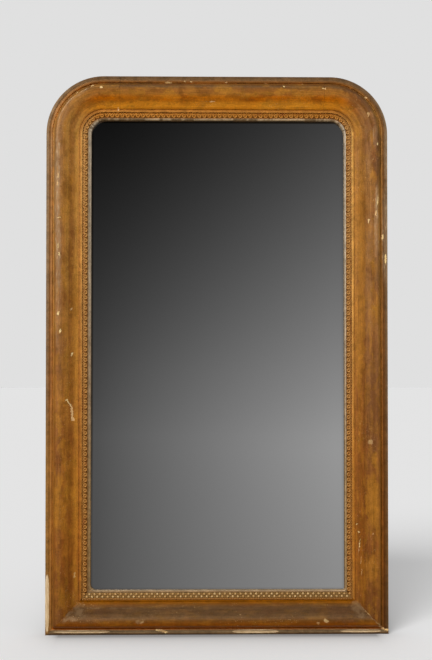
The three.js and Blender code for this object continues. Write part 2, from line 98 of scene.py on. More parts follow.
# ---------------------------------------------------------------- modelling helpers


def clear_selection():
    bpy.ops.object.select_all(action="DESELECT")


def pick(piece):
    """Makes one piece the only one that is selected and worked on."""
    clear_selection()
    bpy.context.view_layer.objects.active = piece
    piece.select_set(True)


def edit(piece, action="DESELECT"):
    """Opens one piece in edit mode, with nothing selected in it unless asked."""
    pick(piece)
    bpy.ops.object.mode_set(mode="EDIT")
    bpy.ops.mesh.select_mode(type="VERT")
    bpy.ops.mesh.select_all(action=action)


def edit_all(piece):
    """Opens one piece in edit mode with all of it selected."""
    edit(piece, "SELECT")


def mend():
    """Merges doubles and turns all faces outwards."""
    bpy.ops.mesh.remove_doubles(threshold=SAME_POINT)
    bpy.ops.mesh.normals_make_consistent(inside=False)


def leave_edit():
    bpy.ops.object.mode_set(mode="OBJECT")


def select_faces(piece, test):
    """Selects the faces whose centre passes the test, and leaves the piece in face mode."""
    bpy.ops.mesh.select_mode(type="FACE")
    bpy.ops.mesh.select_all(action="DESELECT")
    leave_edit()
    for face in piece.data.polygons:
        face.select = test(face.center / MM, face.normal)
    bpy.ops.object.mode_set(mode="EDIT")


def place(piece):
    """Puts the object's own place, turn and size into its mesh."""
    pick(piece)
    bpy.ops.object.transform_apply(location=True, rotation=True, scale=True)


def apply_modifier(piece, kind, **settings):
    """Adds a modifier with its settings and makes it part of the mesh."""
    pick(piece)
    modifier = piece.modifiers.new(kind.title(), kind)
    for name, value in settings.items():
        setattr(modifier, name, value)
    bpy.ops.object.modifier_apply(modifier=modifier.name)


def soften(piece, width, segments=2, angle=30):
    """Rounds every sharp edge a little, as sanding and gilding do."""
    apply_modifier(
        piece, "BEVEL", width=width * MM, segments=segments, limit_method="ANGLE",
        angle_limit=math.radians(angle), use_clamp_overlap=True,
    )


def finish_mesh(piece, smooth_angle=35):
    """Merges doubles, turns all faces outwards and shades the curves smooth."""
    edit_all(piece)
    mend()
    leave_edit()
    bpy.ops.object.shade_smooth_by_angle(angle=math.radians(smooth_angle))


def finish_flats(piece):
    """Finishes a piece so that its flat faces stay flat beside their softened edges."""
    finish_mesh(piece)
    apply_modifier(piece, "WEIGHTED_NORMAL", keep_sharp=True)


def joined(name, pieces):
    """One piece made of several."""
    clear_selection()
    for piece in pieces:
        piece.select_set(True)
    bpy.context.view_layer.objects.active = pieces[0]
    bpy.ops.object.join()
    pieces[0].name = name
    return pieces[0]


def section_disc(name, points):
    """A flat face whose rim follows the points, given in millimetres."""
    bpy.ops.mesh.primitive_circle_add(vertices=len(points), radius=0.01, fill_type="NGON")
    piece = bpy.context.object
    piece.name = name
    for vertex, point in zip(piece.data.vertices, points):
        vertex.co = Vector(point) * MM
    return piece


def extend(step):
    """Draws the selected faces out by a step in millimetres."""
    bpy.ops.mesh.extrude_region_move(TRANSFORM_OT_translate={"value": Vector(step) * MM})


def dress(piece, nodes_replaced, material, body="frame"):
    """Gives a finished piece its material and its body, and hides the CAD nodes that it stands for."""
    piece.data.materials.clear()
    piece.data.materials.append(material)
    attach(piece, body)
    if nodes_replaced:
        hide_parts(*nodes_replaced)
    return piece


# ---------------------------------------------------------------- moulding


def curve(start, handle_1, handle_2, end, steps):
    points = interpolate_bezier(*(Vector((*p, 0)) for p in (start, handle_1, handle_2, end)), steps + 1)
    return [(p.x, p.y) for p in points[1:]]


def moulding_outline(bed_from, bed_to, lip_width):
    """The section as (inset, height) points: inwards from the outer edge, forwards of the back."""
    band, crest = BAND_HEIGHT, CREST_HEIGHT
    points = [(0, 0), (0, band), (7.4, band), (7.6, 15.2), (9.3, 15.2), (9.5, band)]
    points += curve((9.5, band), (9.5, 19.73), (16.5, 19.73), (16.5, band), 8)
    points += [(16.5, 14.5), (18.5, 14.5)]
    points += curve((18.5, 14.5), (18.5, 27.5), (23.75, crest), (29, crest), 10)
    points += curve((29, crest), (43.25, crest), (51.8, 30.2), (57.5, 24.5), 9)
    points += curve((57.5, 24.5), (63.2, 18.8), (69.25, 10), (81, 10), 9)
    points += [(81, 8.5), (83, 8.5), (83, FILLET_HEIGHT), (bed_from, FILLET_HEIGHT)]
    points += [(bed_from, BED_HEIGHT), (bed_to, BED_HEIGHT), (bed_to, 9)]
    roll = curve((0, 9), (0.05, 9.9), (0.75, 9.4), (1, 3.4), 8)
    points += [(bed_to + share * lip_width, height) for share, height in roll]
    points += [(bed_to + lip_width, 0)]
    return points


def sight_depth(x, z):
    """How far a point of the frame's plane lies inside the sight opening: negative on the frame."""
    centre_z = (SIGHT["top"] + SIGHT["bottom"]) / 2
    centre_x = (SIGHT["left"] + SIGHT["right"]) / 2
    if z > centre_z:
        radius = SIGHT_RADII["top"]
    else:
        radius = SIGHT_RADII["bottom_left" if x < 0 else "bottom_right"]
    over_x = abs(x - centre_x) - (SIGHT["right"] - SIGHT["left"]) / 2 + radius
    over_z = abs(z - centre_z) - (SIGHT["top"] - SIGHT["bottom"]) / 2 + radius
    outside = math.hypot(max(over_x, 0), max(over_z, 0))
    return radius - outside - min(max(over_x, over_z), 0)


def draw_lip_to_sight(piece, inward_of, bed_to, lip_width):
    """Moves the lip in the plane of the frame, so that its edge follows the sight opening."""
    for vertex in piece.data.vertices:
        x, z = vertex.co.x / MM, vertex.co.z / MM
        inward, inset = inward_of(x, z)
        if inset <= bed_to + 0.001:
            continue
        share = (inset - bed_to) / lip_width
        base = Vector((x, z)) - inward * (inset - bed_to)
        low, high = 0.0, 30.0
        for _ in range(24):
            middle = (low + high) / 2
            point = base + inward * middle
            if sight_depth(point.x, point.y) < 0:
                low = middle
            else:
                high = middle
        reach = min(low, 2 * lip_width)
        moved = base + inward * reach * share
        vertex.co.x, vertex.co.z = moved.x * MM, moved.y * MM


def section_points(outline, corner, inward, forward=Vector((0, -1, 0))):
    start = Vector(corner) + Vector((0, MOULDING_BACK, 0))
    return [start + Vector(inward) * inset + forward * height for inset, height in outline]


def stations(first, last, fine_from, fine_to, fine_step, coarse_step):
    """Places along a length: close together between fine_from and fine_to, wide apart elsewhere."""
    places = [first]
    while places[-1] < last - 0.001:
        at = places[-1]
        step = fine_step if fine_from <= at < fine_to else coarse_step
        limit = fine_from if at < fine_from else last
        places.append(min(at + step, limit, last))
    return places


def joint_height(side):
    """Where a stile meets its corner block."""
    return CORNER_Z - (LEFT_TAIL if side < 0 else RIGHT_TAIL)


def stile_moulding(name, side):
    """An upright, with close sections where its lip turns into the rounded corner of the sight."""
    key = "left" if side < 0 else "right"
    lip = LIP_WIDTHS[key]
    outline = moulding_outline(BED_START, BED_END, lip)
    inward = Vector((-side, 0, 0))
    places = stations(0, joint_height(side) + SPARE, 106, 128, 1.6, 46)
    piece = section_disc(name, section_points(outline, (side * HALF_WIDTH, 0, 0), inward))
    edit_all(piece)
    for low, high in zip(places, places[1:]):
        extend((0, 0, high - low))
    leave_edit()
    plan = Vector((-side, 0))
    draw_lip_to_sight(piece, lambda x, z: (plan, HALF_WIDTH - abs(x)), BED_END, lip)
    return piece


# ---------------------------------------------------------------- corner blocks and rails


def inward_at_corner(side):
    """For a point near a top corner: which way is inwards, and how far in it lies."""
    centre = Vector((side * CORNER_X, CORNER_Z))

    def inward_of(x, z):
        if side * x > CORNER_X and z > CORNER_Z:
            offset = centre - Vector((x, z))
            return offset.normalized(), CORNER_RADIUS - offset.length
        if z > CORNER_Z:
            return Vector((0, -1)), HEIGHT - z
        return Vector((-side, 0)), HALF_WIDTH - side * x

    return inward_of


def corner_block(name, side):
    """A rounded top corner with its short straight tails on the stile and on the rail."""
    tail = LEFT_TAIL if side < 0 else RIGHT_TAIL
    lip = LIP_WIDTHS["top"]
    outline = moulding_outline(BED_START, BED_END, lip)
    start = (side * HALF_WIDTH, 0, joint_height(side) - SPARE)
    piece = section_disc(name, section_points(outline, start, (-side, 0, 0)))
    edit_all(piece)
    extend((0, 0, tail + SPARE - 5))
    extend((0, 0, 5))
    bpy.ops.mesh.spin(
        steps=26, angle=QUARTER, center=Vector((side * CORNER_X, 0, CORNER_Z)) * MM, axis=(0, side, 0),
    )
    extend((-side * 6, 0, 0))
    extend((-side * (tail - 6), 0, 0))
    leave_edit()
    draw_lip_to_sight(piece, inward_at_corner(side), BED_END, lip)
    return piece


def top_rail(name):
    outline = moulding_outline(BED_START, BED_END, LIP_WIDTHS["top"])
    left = -CORNER_X + LEFT_TAIL + JOINT_GAP
    right = CORNER_X - RIGHT_TAIL - JOINT_GAP
    piece = section_disc(name, section_points(outline, (left, 0, HEIGHT), (0, 0, -1)))
    edit_all(piece)
    for _ in range(12):
        extend(((right - left) / 12, 0, 0))
    leave_edit()
    return piece


def bottom_rail(name):
    lip = LIP_WIDTHS["bottom"]
    outline = moulding_outline(BOTTOM_BED_START, BOTTOM_BED_END, lip)
    piece = section_disc(name, section_points(outline, (-HALF_WIDTH, 0, 0), (0, 0, 1)))
    left_places = stations(-HALF_WIDTH, 0, -320, -300, 1.6, 40)
    right_places = [-place for place in reversed(left_places)]
    places = left_places + right_places[1:]
    edit_all(piece)
    for low, high in zip(places, places[1:]):
        extend((high - low, 0, 0))
    leave_edit()
    plan = Vector((0, 1))
    draw_lip_to_sight(piece, lambda x, z: (plan, z), BOTTOM_BED_END, lip)
    return piece


def cut(piece, point, normal):
    """Cuts a piece by a plane and closes it, keeping the side that the normal points away from."""
    edit_all(piece)
    bpy.ops.mesh.bisect(
        plane_co=Vector(point) * MM, plane_no=Vector(normal), use_fill=True, clear_outer=True,
        threshold=SAME_POINT,
    )
    leave_edit()


left_stile = stile_moulding("left_stile", -1)
right_stile = stile_moulding("right_stile", 1)
left_corner = corner_block("left_corner", -1)
right_corner = corner_block("right_corner", 1)
upper_rail = top_rail("upper_rail")
lower_rail = bottom_rail("lower_rail")

cut(left_stile, (-HALF_WIDTH, 0, 0), (1, 0, -1))
cut(right_stile, (HALF_WIDTH, 0, 0), (-1, 0, -1))
for side in (-1, 1):
    cut(lower_rail, (side * (HALF_WIDTH - JOINT_GAP), 0, 0), (side, 0, 1))

# ---------------------------------------------------------------- ornament strips


def stud(name, radius, profile, sides, place_at=(0, 0, 0)):
    """A round stud that stands forwards of its place. Each step of the profile is (inwards, forwards)."""
    bpy.ops.mesh.primitive_circle_add(
        vertices=sides, radius=radius * MM, fill_type="NGON", rotation=(QUARTER, 0, 0),
        location=Vector(place_at) * MM,
    )
    piece = bpy.context.object
    piece.name = name
    place(piece)
    edit_all(piece)
    for inwards, forwards in profile:
        if inwards:
            bpy.ops.mesh.inset(thickness=inwards * MM, depth=forwards * MM)
        else:
            extend((0, -forwards, 0))
    leave_edit()
    return piece


RING_PROFILE = [(0, 1.4), (1.0, 1.2), (1.0, 0.1), (1.0, -1.1), (0.7, -0.4)]
PEARL_PROFILE = [(0, 1.0), (0.6, 1.4), (1.1, 0.9), (1.1, 0.3)]
BEAD_PROFILE = [(0, 0.8), (0.5, 0.7), (0.6, 0.25)]
LEAF_PROFILE = [(0, 1.3), (0.45, 0.7), (0.4, 0.15)]
RING_RADIUS = 5.5
STRIP_HALF = 6.7  # half the width of a ring strip
STRIP_FACE = -STRIP_BACK - 1.5
SUNK = 0.4  # how deep rings and leaves start in their strip
RINGS_INWARDS = 1.4  # how far the row of rings lies inwards of the middle of its strip
LEAVES_OUTWARDS = 5.3  # and how far the row of small leaves lies outwards


def leaf(place_at, way):
    """A small oval leaf, long along the strip."""
    piece = stud("leaf", 1.25, LEAF_PROFILE, 6)
    piece.scale = Vector([2.0 if abs(part) > 0.5 else 1.0 for part in way])
    place(piece)
    piece.location = Vector(place_at) * MM
    place(piece)
    return piece


def strip_slab(name, low, high):
    """The thin backing of a strip, its front edges softened."""
    size = Vector(high) - Vector(low)
    bpy.ops.mesh.primitive_cube_add(size=1, location=(Vector(low) + Vector(high)) / 2 * MM)
    piece = bpy.context.object
    piece.name = name
    piece.scale = size * MM
    place(piece)
    soften(piece, 0.4, 2)
    return piece


def row(piece, count, step):
    """Copies a stud along a straight line."""
    apply_modifier(
        piece, "ARRAY", count=count, use_relative_offset=False, use_constant_offset=True,
        constant_offset_displace=Vector(step) * MM,
    )
    return piece


def even(length, pitch):
    """How many steps of about one pitch fill a length, and the exact step."""
    count = max(1, round(length / pitch))
    return count, length / count


def straight_ring_strip(name, start, step_way, inwards, length):
    """A strip of rings from start along step_way; inwards points at the sight opening."""
    across, way = Vector(inwards), Vector(step_way)
    corners = [Vector(start) - across * STRIP_HALF, Vector(start) + way * length + across * STRIP_HALF]
    low = Vector([min(c[i] for c in corners) for i in range(3)])
    high = Vector([max(c[i] for c in corners) for i in range(3)])
    low.y, high.y = STRIP_FACE, -STRIP_BACK
    slab = strip_slab(name, low, high)
    count, step = even(length, RING_PITCH)
    first = Vector(start) + way * step / 2 + across * RINGS_INWARDS
    ring = stud("ring", RING_RADIUS, RING_PROFILE, 10, (first.x, STRIP_FACE + SUNK, first.z))
    row(ring, count, way * step)
    first = Vector(start) + way * step / 4 - across * LEAVES_OUTWARDS
    small = leaf((first.x, STRIP_FACE + SUNK, first.z), way)
    row(small, count * 2, way * step / 2)
    return joined(name, [slab, ring, small])


def curved_ring_strip(name, side):
    """The strip round a top corner: a slab spun about the corner's centre, and rings spun as copies."""
    middle = CORNER_RADIUS - (BED_START + BED_END) / 2
    gap = JOINT_GAP / middle
    centre = Vector((side * CORNER_X, 0, CORNER_Z))
    near, far = middle - STRIP_HALF, middle + STRIP_HALF
    outline = [(near, -STRIP_BACK), (far, -STRIP_BACK), (far, STRIP_FACE), (near, STRIP_FACE)]
    along = Vector((side * math.cos(gap), 0, math.sin(gap)))
    points = [centre + along * radius + Vector((0, y, 0)) for radius, y in outline]
    slab = section_disc(name, points)
    edit_all(slab)
    bpy.ops.mesh.spin(steps=16, angle=QUARTER - 2 * gap, center=centre * MM, axis=(0, side, 0))
    leave_edit()
    soften(slab, 0.4, 2, 40)
    count, arc = even(middle * QUARTER, RING_PITCH)
    turn = arc / middle
    studs = []
    for radius, number in ((middle - RINGS_INWARDS, count), (middle + LEAVES_OUTWARDS, count * 2)):
        share = turn * count / number
        first = centre + Vector((side * math.cos(share / 2), 0, math.sin(share / 2))) * radius
        first.y = STRIP_FACE + SUNK
        if number == count:
            piece = stud("ring", RING_RADIUS - 0.4, RING_PROFILE, 10, first)
        else:
            piece = leaf(first, (0, 0, 1))
        edit_all(piece)
        bpy.ops.mesh.spin(
            steps=number - 1, dupli=True, angle=share * (number - 1), center=centre * MM, axis=(0, side, 0),
        )
        leave_edit()
        studs.append(piece)
    return joined(name, [slab] + studs)


def pearl_strip(name):
    """The bottom strip: two staggered rows of pearls with beads between, and a small cord below."""
    half = HALF_WIDTH - BED_START - JOINT_GAP
    low, high = BOTTOM_BED_START + JOINT_GAP, BOTTOM_BED_END - JOINT_GAP
    slab = strip_slab(name, (-half, STRIP_FACE, low), (half, -STRIP_BACK, high))
    count, step = even(2 * half, RING_PITCH)
    face = STRIP_FACE + 0.3
    upper, lower = high - 3.5, high - 10.0
    rows = [
        (stud("pearl", 3.8, PEARL_PROFILE, 10, (-half + step / 2, face, upper)), count, step),
        (stud("bead", 1.7, BEAD_PROFILE, 8, (-half + step, face, upper + 1.0)), count - 1, step),
        (stud("pearl", 3.6, PEARL_PROFILE, 10, (-half + step, face, lower)), count - 1, step),
        (stud("bead", 1.7, BEAD_PROFILE, 8, (-half + step / 2, face, lower - 0.4)), count, step),
    ]
    cord_count, cord_step = even(2 * half, 5.9)
    rib = strip_slab("rib", (-half, STRIP_FACE - 1.2, low + 0.1), (half, STRIP_FACE + 0.5, low + 4.6))
    cord = leaf((-half + cord_step / 2, face - 1.4, low + 2.3), (1, 0, 0))
    rows.append((cord, cord_count, cord_step))
    for piece, number, pitch in rows:
        row(piece, number, (pitch, 0, 0))
    return joined(name, [slab, rib] + [piece for piece, _, _ in rows])


strip_middle = (BED_START + BED_END) / 2
strip_foot = BOTTOM_BED_END
side_length = CORNER_Z - strip_foot
left_rings = straight_ring_strip(
    "left_rings", (-HALF_WIDTH + strip_middle, 0, strip_foot), (0, 0, 1), (1, 0, 0), side_length)
right_rings = straight_ring_strip(
    "right_rings", (HALF_WIDTH - strip_middle, 0, strip_foot), (0, 0, 1), (-1, 0, 0), side_length)
top_rings = straight_ring_strip(
    "top_rings", (-CORNER_X, 0, HEIGHT - strip_middle), (1, 0, 0), (0, 0, -1), 2 * CORNER_X)
left_turn_rings = curved_ring_strip("left_turn_rings", -1)
right_turn_rings = curved_ring_strip("right_turn_rings", 1)
lower_pearls = pearl_strip("lower_pearls")

# ---------------------------------------------------------------- carcass, backboards and nails


def softened_copy(node, name, width):
    """A copy of a CAD board with its faces made whole again and its arrises eased."""
    pick(nodes[node])
    bpy.ops.object.duplicate()
    piece = bpy.context.object
    piece.name = name
    piece.parent = None
    for key in [key for key in piece.keys() if key.startswith("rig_")]:
        del piece[key]
    edit_all(piece)
    bpy.ops.mesh.remove_doubles(threshold=SAME_POINT)
    bpy.ops.mesh.dissolve_limited(angle_limit=math.radians(1))
    leave_edit()
    soften(piece, width, 2)
    return piece


def nail(name, x, z, head):
    """A cut nail's head, slightly crowned, flush with the back of a board."""
    return stud(name, head, [(0, -0.5), (0.5, -0.25), (0.9, -0.05)], 8, (x, CARCASS_BACK - 0.05, z))


carcass = {
    node: softened_copy(node, node.replace("_carcass", ""), 0.8)
    for node in ("left_carcass_board", "right_carcass_board", "bottom_carcass_board", "top_carcass_board")
}
planks = {f"backboard_{i}": softened_copy(f"backboard_{i}", f"plank_{i}", 1.1) for i in range(1, 6)}

NAIL_HEAD = 2.1
NAIL_X = 331
NAIL_SHARES = (0.14, 0.5, 0.86)  # places of a plank's nails, as shares of its width

nails = []
for index in range(5):
    low, high = (corner.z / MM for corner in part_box(f"backboard_{index + 1}"))
    for side in (-1, 1):
        for share in NAIL_SHARES:
            drift = 3 * math.sin(7.3 * index + 4.1 * share + side)
            x, z = side * (NAIL_X + drift / 3), low + (high - low) * share + drift
            nails.append(nail("nail", x, z, NAIL_HEAD))
nail_heads = joined("nail_heads", nails)

# ---------------------------------------------------------------- hanging hardware

HINGE_X, HINGE_Y, HINGE_Z = 381, 30, HEIGHT - 300
STRAP_BACK = CARCASS_BACK
STRAP_SIZE = (16, 2, 60)
STRAP_FOOT = 6.5  # rounding of the strap's lower end
KNUCKLE_RADIUS, KNUCKLE_WALL, KNUCKLE_LENGTH = 4.6, 2.0, 14
WIRE_RADIUS, RING_BOW, RING_BEND = 2.2, 20, 3
SCREW_HEAD, SCREW_SHANK = 3.95, 1.95
SCREW_DROPS = (28, 50)  # how far the screws lie below the hinge


def strap(name, side):
    """A flat iron strap with a rolled knuckle at its top and a rounded foot."""
    x = side * HINGE_X
    _, thick, long = STRAP_SIZE
    middle = Vector((x, STRAP_BACK + thick / 2, HINGE_Z - long / 2))
    bpy.ops.mesh.primitive_cube_add(size=1, location=middle * MM)
    plate = bpy.context.object
    plate.name = name
    plate.scale = Vector(STRAP_SIZE) * MM
    place(plate)
    edit(plate)
    bpy.ops.mesh.select_mode(type="EDGE")
    leave_edit()
    for edge in plate.data.edges:
        ends = [plate.data.vertices[i].co / MM for i in edge.vertices]
        edge.select = abs(ends[0].y - ends[1].y) > thick / 2 and ends[0].z < HINGE_Z - long / 2
    bpy.ops.object.mode_set(mode="EDIT")
    bpy.ops.mesh.bevel(offset=STRAP_FOOT * MM, segments=8, affect="EDGES")
    leave_edit()
    soften(plate, 0.35, 2, 40)
    bpy.ops.mesh.primitive_cylinder_add(
        vertices=28, radius=KNUCKLE_RADIUS * MM, depth=KNUCKLE_LENGTH * MM, end_fill_type="NOTHING",
        rotation=(0, QUARTER, 0), location=Vector((x, HINGE_Y, HINGE_Z)) * MM,
    )
    knuckle = bpy.context.object
    knuckle.name = "knuckle"
    place(knuckle)
    edit_all(knuckle)
    bpy.ops.mesh.normals_make_consistent(inside=False)
    leave_edit()
    apply_modifier(knuckle, "SOLIDIFY", thickness=KNUCKLE_WALL * MM, offset=-1)
    soften(knuckle, 0.3, 2, 40)
    return joined(name, [plate, knuckle])


def wire_ring(name, side):
    """A bent wire ring that hangs from its one straight side, which is its pin in the knuckle."""
    centre = Vector((side * HINGE_X, HINGE_Y, HINGE_Z))
    wire, bend = WIRE_RADIUS, RING_BEND
    bend_x = math.sqrt((RING_BOW - bend) ** 2 - bend ** 2)
    past_level = math.atan2(bend, bend_x)
    sides = 14
    rim = []
    for index in range(sides):
        angle = 2 * math.pi * index / sides
        rim.append(centre + Vector((-bend_x, wire * math.cos(angle), wire * math.sin(angle))))
    piece = section_disc(name, rim)
    edit_all(piece)
    bpy.ops.mesh.delete(type="ONLY_FACE")
    bpy.ops.mesh.select_all(action="SELECT")
    extend((2 * bend_x, 0, 0))
    turns = (
        ((bend_x, -bend), QUARTER + past_level, 8),
        ((0, 0), math.pi - 2 * past_level, 28),
        ((-bend_x, -bend), QUARTER + past_level, 8),
    )
    for (x, z), angle, steps in turns:
        hub = (centre + Vector((x, 0, z))) * MM
        bpy.ops.mesh.spin(steps=steps, angle=-angle, center=hub, axis=(0, 1, 0))
    bpy.ops.mesh.select_all(action="SELECT")
    mend()
    leave_edit()
    return piece


def screw(name, side, drop):
    """A slotted round head with a short length of shank."""
    x, z = side * HINGE_X, HINGE_Z - drop
    seat = STRAP_BACK + STRAP_SIZE[1]
    head = stud(name, SCREW_HEAD, [(0, -0.35), (0.5, -0.75), (0.8, -0.4), (1.2, -0.2)], 20, (x, seat, z))
    bpy.ops.mesh.primitive_cube_add(size=1, location=Vector((x, seat + 1.6, z)) * MM)
    slot = bpy.context.object
    slot.scale = Vector((9, 1.3, 0.9)) * MM
    slot.rotation_euler = (0, 0.5 + drop, 0)
    place(slot)
    apply_modifier(head, "BOOLEAN", object=slot, operation="DIFFERENCE", solver="EXACT")
    bpy.data.objects.remove(slot)
    shank = stud("shank", SCREW_SHANK, [(0, 15), (0.9, 3)], 12, (x, seat + 0.2, z))
    return joined(name, [head, shank])


# ---------------------------------------------------------------- shader helpers


def tone(colour):
    """A colour as it is seen on a screen, 0 to 255, as the linear values of a shader."""
    return (*[(part / 255) ** 2.2 for part in colour], 1)


class Sheet:
    """Adds nodes to one node tree and links them by the sockets that they are given."""

    def __init__(self, tree):
        self.tree = tree

    def add(self, kind, **settings):
        node = self.tree.nodes.new(kind)
        for name, value in settings.items():
            setattr(node, name, value)
        return node

    def feed(self, socket, value):
        if isinstance(value, bpy.types.NodeSocket):
            self.tree.links.new(value, socket)
        elif value is not None:
            socket.default_value = value

    def math(self, operation, first, second=None, clamp=False):
        node = self.add("ShaderNodeMath", operation=operation, use_clamp=clamp)
        for socket, value in zip(node.inputs, (first, second)):
            self.feed(socket, value)
        return node.outputs[0]

    def plus(self, first, second):
        return self.math("ADD", first, second)

    def minus(self, first, second):
        return self.math("SUBTRACT", first, second)

    def times(self, first, second, clamp=False):
        return self.math("MULTIPLY", first, second, clamp)

    def divide(self, first, second):
        return self.math("DIVIDE", first, second)

    def most(self, first, second):
        return self.math("MAXIMUM", first, second)

    def least(self, first, second):
        return self.math("MINIMUM", first, second)

    def split(self, vector):
        node = self.add("ShaderNodeSeparateXYZ")
        self.feed(node.inputs[0], vector)
        return node.outputs

    def object_place(self):
        """Object coordinates in millimetres."""
        node = self.add("ShaderNodeVectorMath", operation="SCALE")
        self.feed(node.inputs[0], self.add("ShaderNodeTexCoord").outputs["Object"])
        self.feed(node.inputs["Scale"], 1 / MM)
        return node.outputs[0]

    def mix(self, share, first, second, blend="MIX"):
        node = self.add("ShaderNodeMix", data_type="RGBA", blend_type=blend)
        self.feed(node.inputs[0], share)
        self.feed(node.inputs[6], first)
        self.feed(node.inputs[7], second)
        return node.outputs[2]

    def range(self, value, low, high, to_low=0.0, to_high=1.0, kind="SMOOTHSTEP"):
        node = self.add("ShaderNodeMapRange", interpolation_type=kind)
        for socket, item in zip(node.inputs, (value, low, high, to_low, to_high)):
            self.feed(socket, item)
        return node.outputs[0]

    def ramp(self, value, stops, kind="LINEAR"):
        node = self.add("ShaderNodeValToRGB")
        node.color_ramp.interpolation = kind
        points = node.color_ramp.elements
        while len(points) < len(stops):
            points.new(0.5)
        for point, (position, colour) in zip(points, stops):
            point.position = position
            point.color = colour
        self.feed(node.inputs[0], value)
        return node.outputs[0]

    def noise(self, vector, scale, detail=2.0, rough=0.5, kind="ShaderNodeTexNoise"):
        node = self.add(kind)
        self.feed(node.inputs["Vector"], vector)
        self.feed(node.inputs["Scale"], scale)
        self.feed(node.inputs["Detail"], detail)
        self.feed(node.inputs["Roughness"], rough)
        return node.outputs[0]

    def vector(self, x, y, z):
        node = self.add("ShaderNodeCombineXYZ")
        for socket, value in zip(node.inputs, (x, y, z)):
            self.feed(socket, value)
        return node.outputs[0]

    def group(self, tree, **values):
        node = self.add("ShaderNodeGroup")
        node.node_tree = tree
        for name, value in values.items():
            self.feed(node.inputs[name.replace("_", " ")], value)
        return node.outputs


def new_group(name, inputs, outputs):
    """A shader node group with its sockets; returns the tree, its sheet, its inputs and its outputs."""
    tree = bpy.data.node_groups.new(name, "ShaderNodeTree")
    kinds = {"number": "NodeSocketFloat", "colour": "NodeSocketColor", "place": "NodeSocketVector"}
    for label, kind in inputs:
        tree.interface.new_socket(name=label, in_out="INPUT", socket_type=kinds[kind])
    for label, kind in outputs:
        tree.interface.new_socket(name=label, in_out="OUTPUT", socket_type=kinds[kind])
    sheet = Sheet(tree)
    return tree, sheet, sheet.add("NodeGroupInput").outputs, sheet.add("NodeGroupOutput").inputs


def new_material(name, rough=0.5, metallic=0.0):
    """A material with one shader; returns it with its sheet and its shader."""
    material = bpy.data.materials.new(name)
    material.use_nodes = True
    sheet = Sheet(material.node_tree)
    shader = material.node_tree.nodes["Principled BSDF"]
    shader.inputs["Roughness"].default_value = rough
    shader.inputs["Metallic"].default_value = metallic
    return material, sheet, shader


def raise_surface(sheet, shader, height, distance, strength=1.0):
    """Lets a value raise the surface by up to a distance in millimetres."""
    bump = sheet.add("ShaderNodeBump")
    bump.inputs["Distance"].default_value = distance * MM
    bump.inputs["Strength"].default_value = strength
    sheet.feed(bump.inputs["Height"], height)
    sheet.feed(shader.inputs["Normal"], bump.outputs[0])


# ---------------------------------------------------------------- shared effects


def frame_places():
    """Inset from the outer edge, distance along the moulding and turn from the top rail to a stile."""
    tree, sheet, _, out = new_group(
        "frame places", [],
        [("Inset", "number"), ("Along", "number"), ("Bottom", "number"), ("Turn", "number"),
         ("Right", "number"), ("Front", "number"), ("Height", "number"), ("Over mitre", "number"),
         ("Place", "place")],
    )
    place_now = sheet.object_place()
    x, y, z = sheet.split(place_now)
    wide = sheet.math("ABSOLUTE", x)
    over_x = sheet.minus(wide, CORNER_X)
    over_z = sheet.minus(z, CORNER_Z)
    out_x = sheet.most(over_x, 0)
    out_z = sheet.most(over_z, 0)
    reach = sheet.math("SQRT", sheet.plus(sheet.math("POWER", out_x, 2), sheet.math("POWER", out_z, 2)))
    inner = sheet.least(sheet.most(over_x, over_z), 0)
    upper_inset = sheet.minus(sheet.minus(CORNER_RADIUS, reach), inner)
    bottom = sheet.math("LESS_THAN", z, upper_inset)
    turn = sheet.divide(sheet.math("ARCTAN2", out_x, sheet.most(out_z, 0.001)), QUARTER)
    way = sheet.math("SIGN", x)
    run = sheet.plus(sheet.least(wide, CORNER_X), sheet.times(turn, 90 * QUARTER))
    run = sheet.plus(run, sheet.minus(CORNER_Z, sheet.least(z, CORNER_Z)))
    along = sheet.times(way, run)
    along = sheet.plus(sheet.times(along, sheet.minus(1, bottom)),
                       sheet.times(sheet.plus(x, 4000), bottom))
    # The sight opening is rounded at its lower left, where the lip is wider: its insets are spread over
    # the whole width.
    radius = SIGHT_RADII["bottom_left"]
    plain = sheet.least(upper_inset, z)
    from_side = sheet.minus(SIGHT["left"] + radius, x)
    from_foot = sheet.minus(SIGHT["bottom"] + radius, z)
    into_turn = sheet.plus(sheet.times(from_side, bottom),
                           sheet.times(from_foot, sheet.minus(1, bottom)))
    into_turn = sheet.times(sheet.least(sheet.most(into_turn, 0), radius - 0.1),
                           sheet.math("LESS_THAN", x, 0))
    bulge = sheet.minus(radius, sheet.math(
        "SQRT", sheet.minus(radius ** 2, sheet.math("POWER", into_turn, 2))))
    lip_start = sheet.plus(BED_END, bottom)
    lip_width = sheet.minus(LIP_WIDTHS["left"], sheet.times(bottom, 3))
    over = sheet.most(sheet.minus(plain, lip_start), 0)
    spread = sheet.divide(bulge, sheet.plus(lip_width, bulge))
    sheet.feed(out["Inset"], sheet.minus(plain, sheet.times(over, spread)))
    sheet.feed(out["Along"], along)
    sheet.feed(out["Bottom"], bottom)
    sheet.feed(out["Turn"], turn)
    sheet.feed(out["Right"], sheet.math("GREATER_THAN", x, 0))
    sheet.feed(out["Front"], sheet.minus(MOULDING_BACK, y))
    sheet.feed(out["Height"], z)
    sheet.feed(out["Over mitre"], sheet.minus(upper_inset, z))
    sheet.feed(out["Place"], place_now)
    return tree


def streaks():
    """Streaks that follow the moulding, left by the brush and by handling."""
    tree, sheet, into, out = new_group(
        "streaks", [("Along", "number"), ("Inset", "number"), ("Length", "number"), ("Width", "number"),
                    ("Seed", "number")],
        [("Amount", "number")],
    )
    streak_place = sheet.vector(
        sheet.divide(into["Along"], into["Length"]),
        sheet.divide(into["Inset"], into["Width"]),
        into["Seed"],
    )
    sheet.feed(out["Amount"], sheet.noise(streak_place, 1.0, 4.0, 0.55))
    return tree


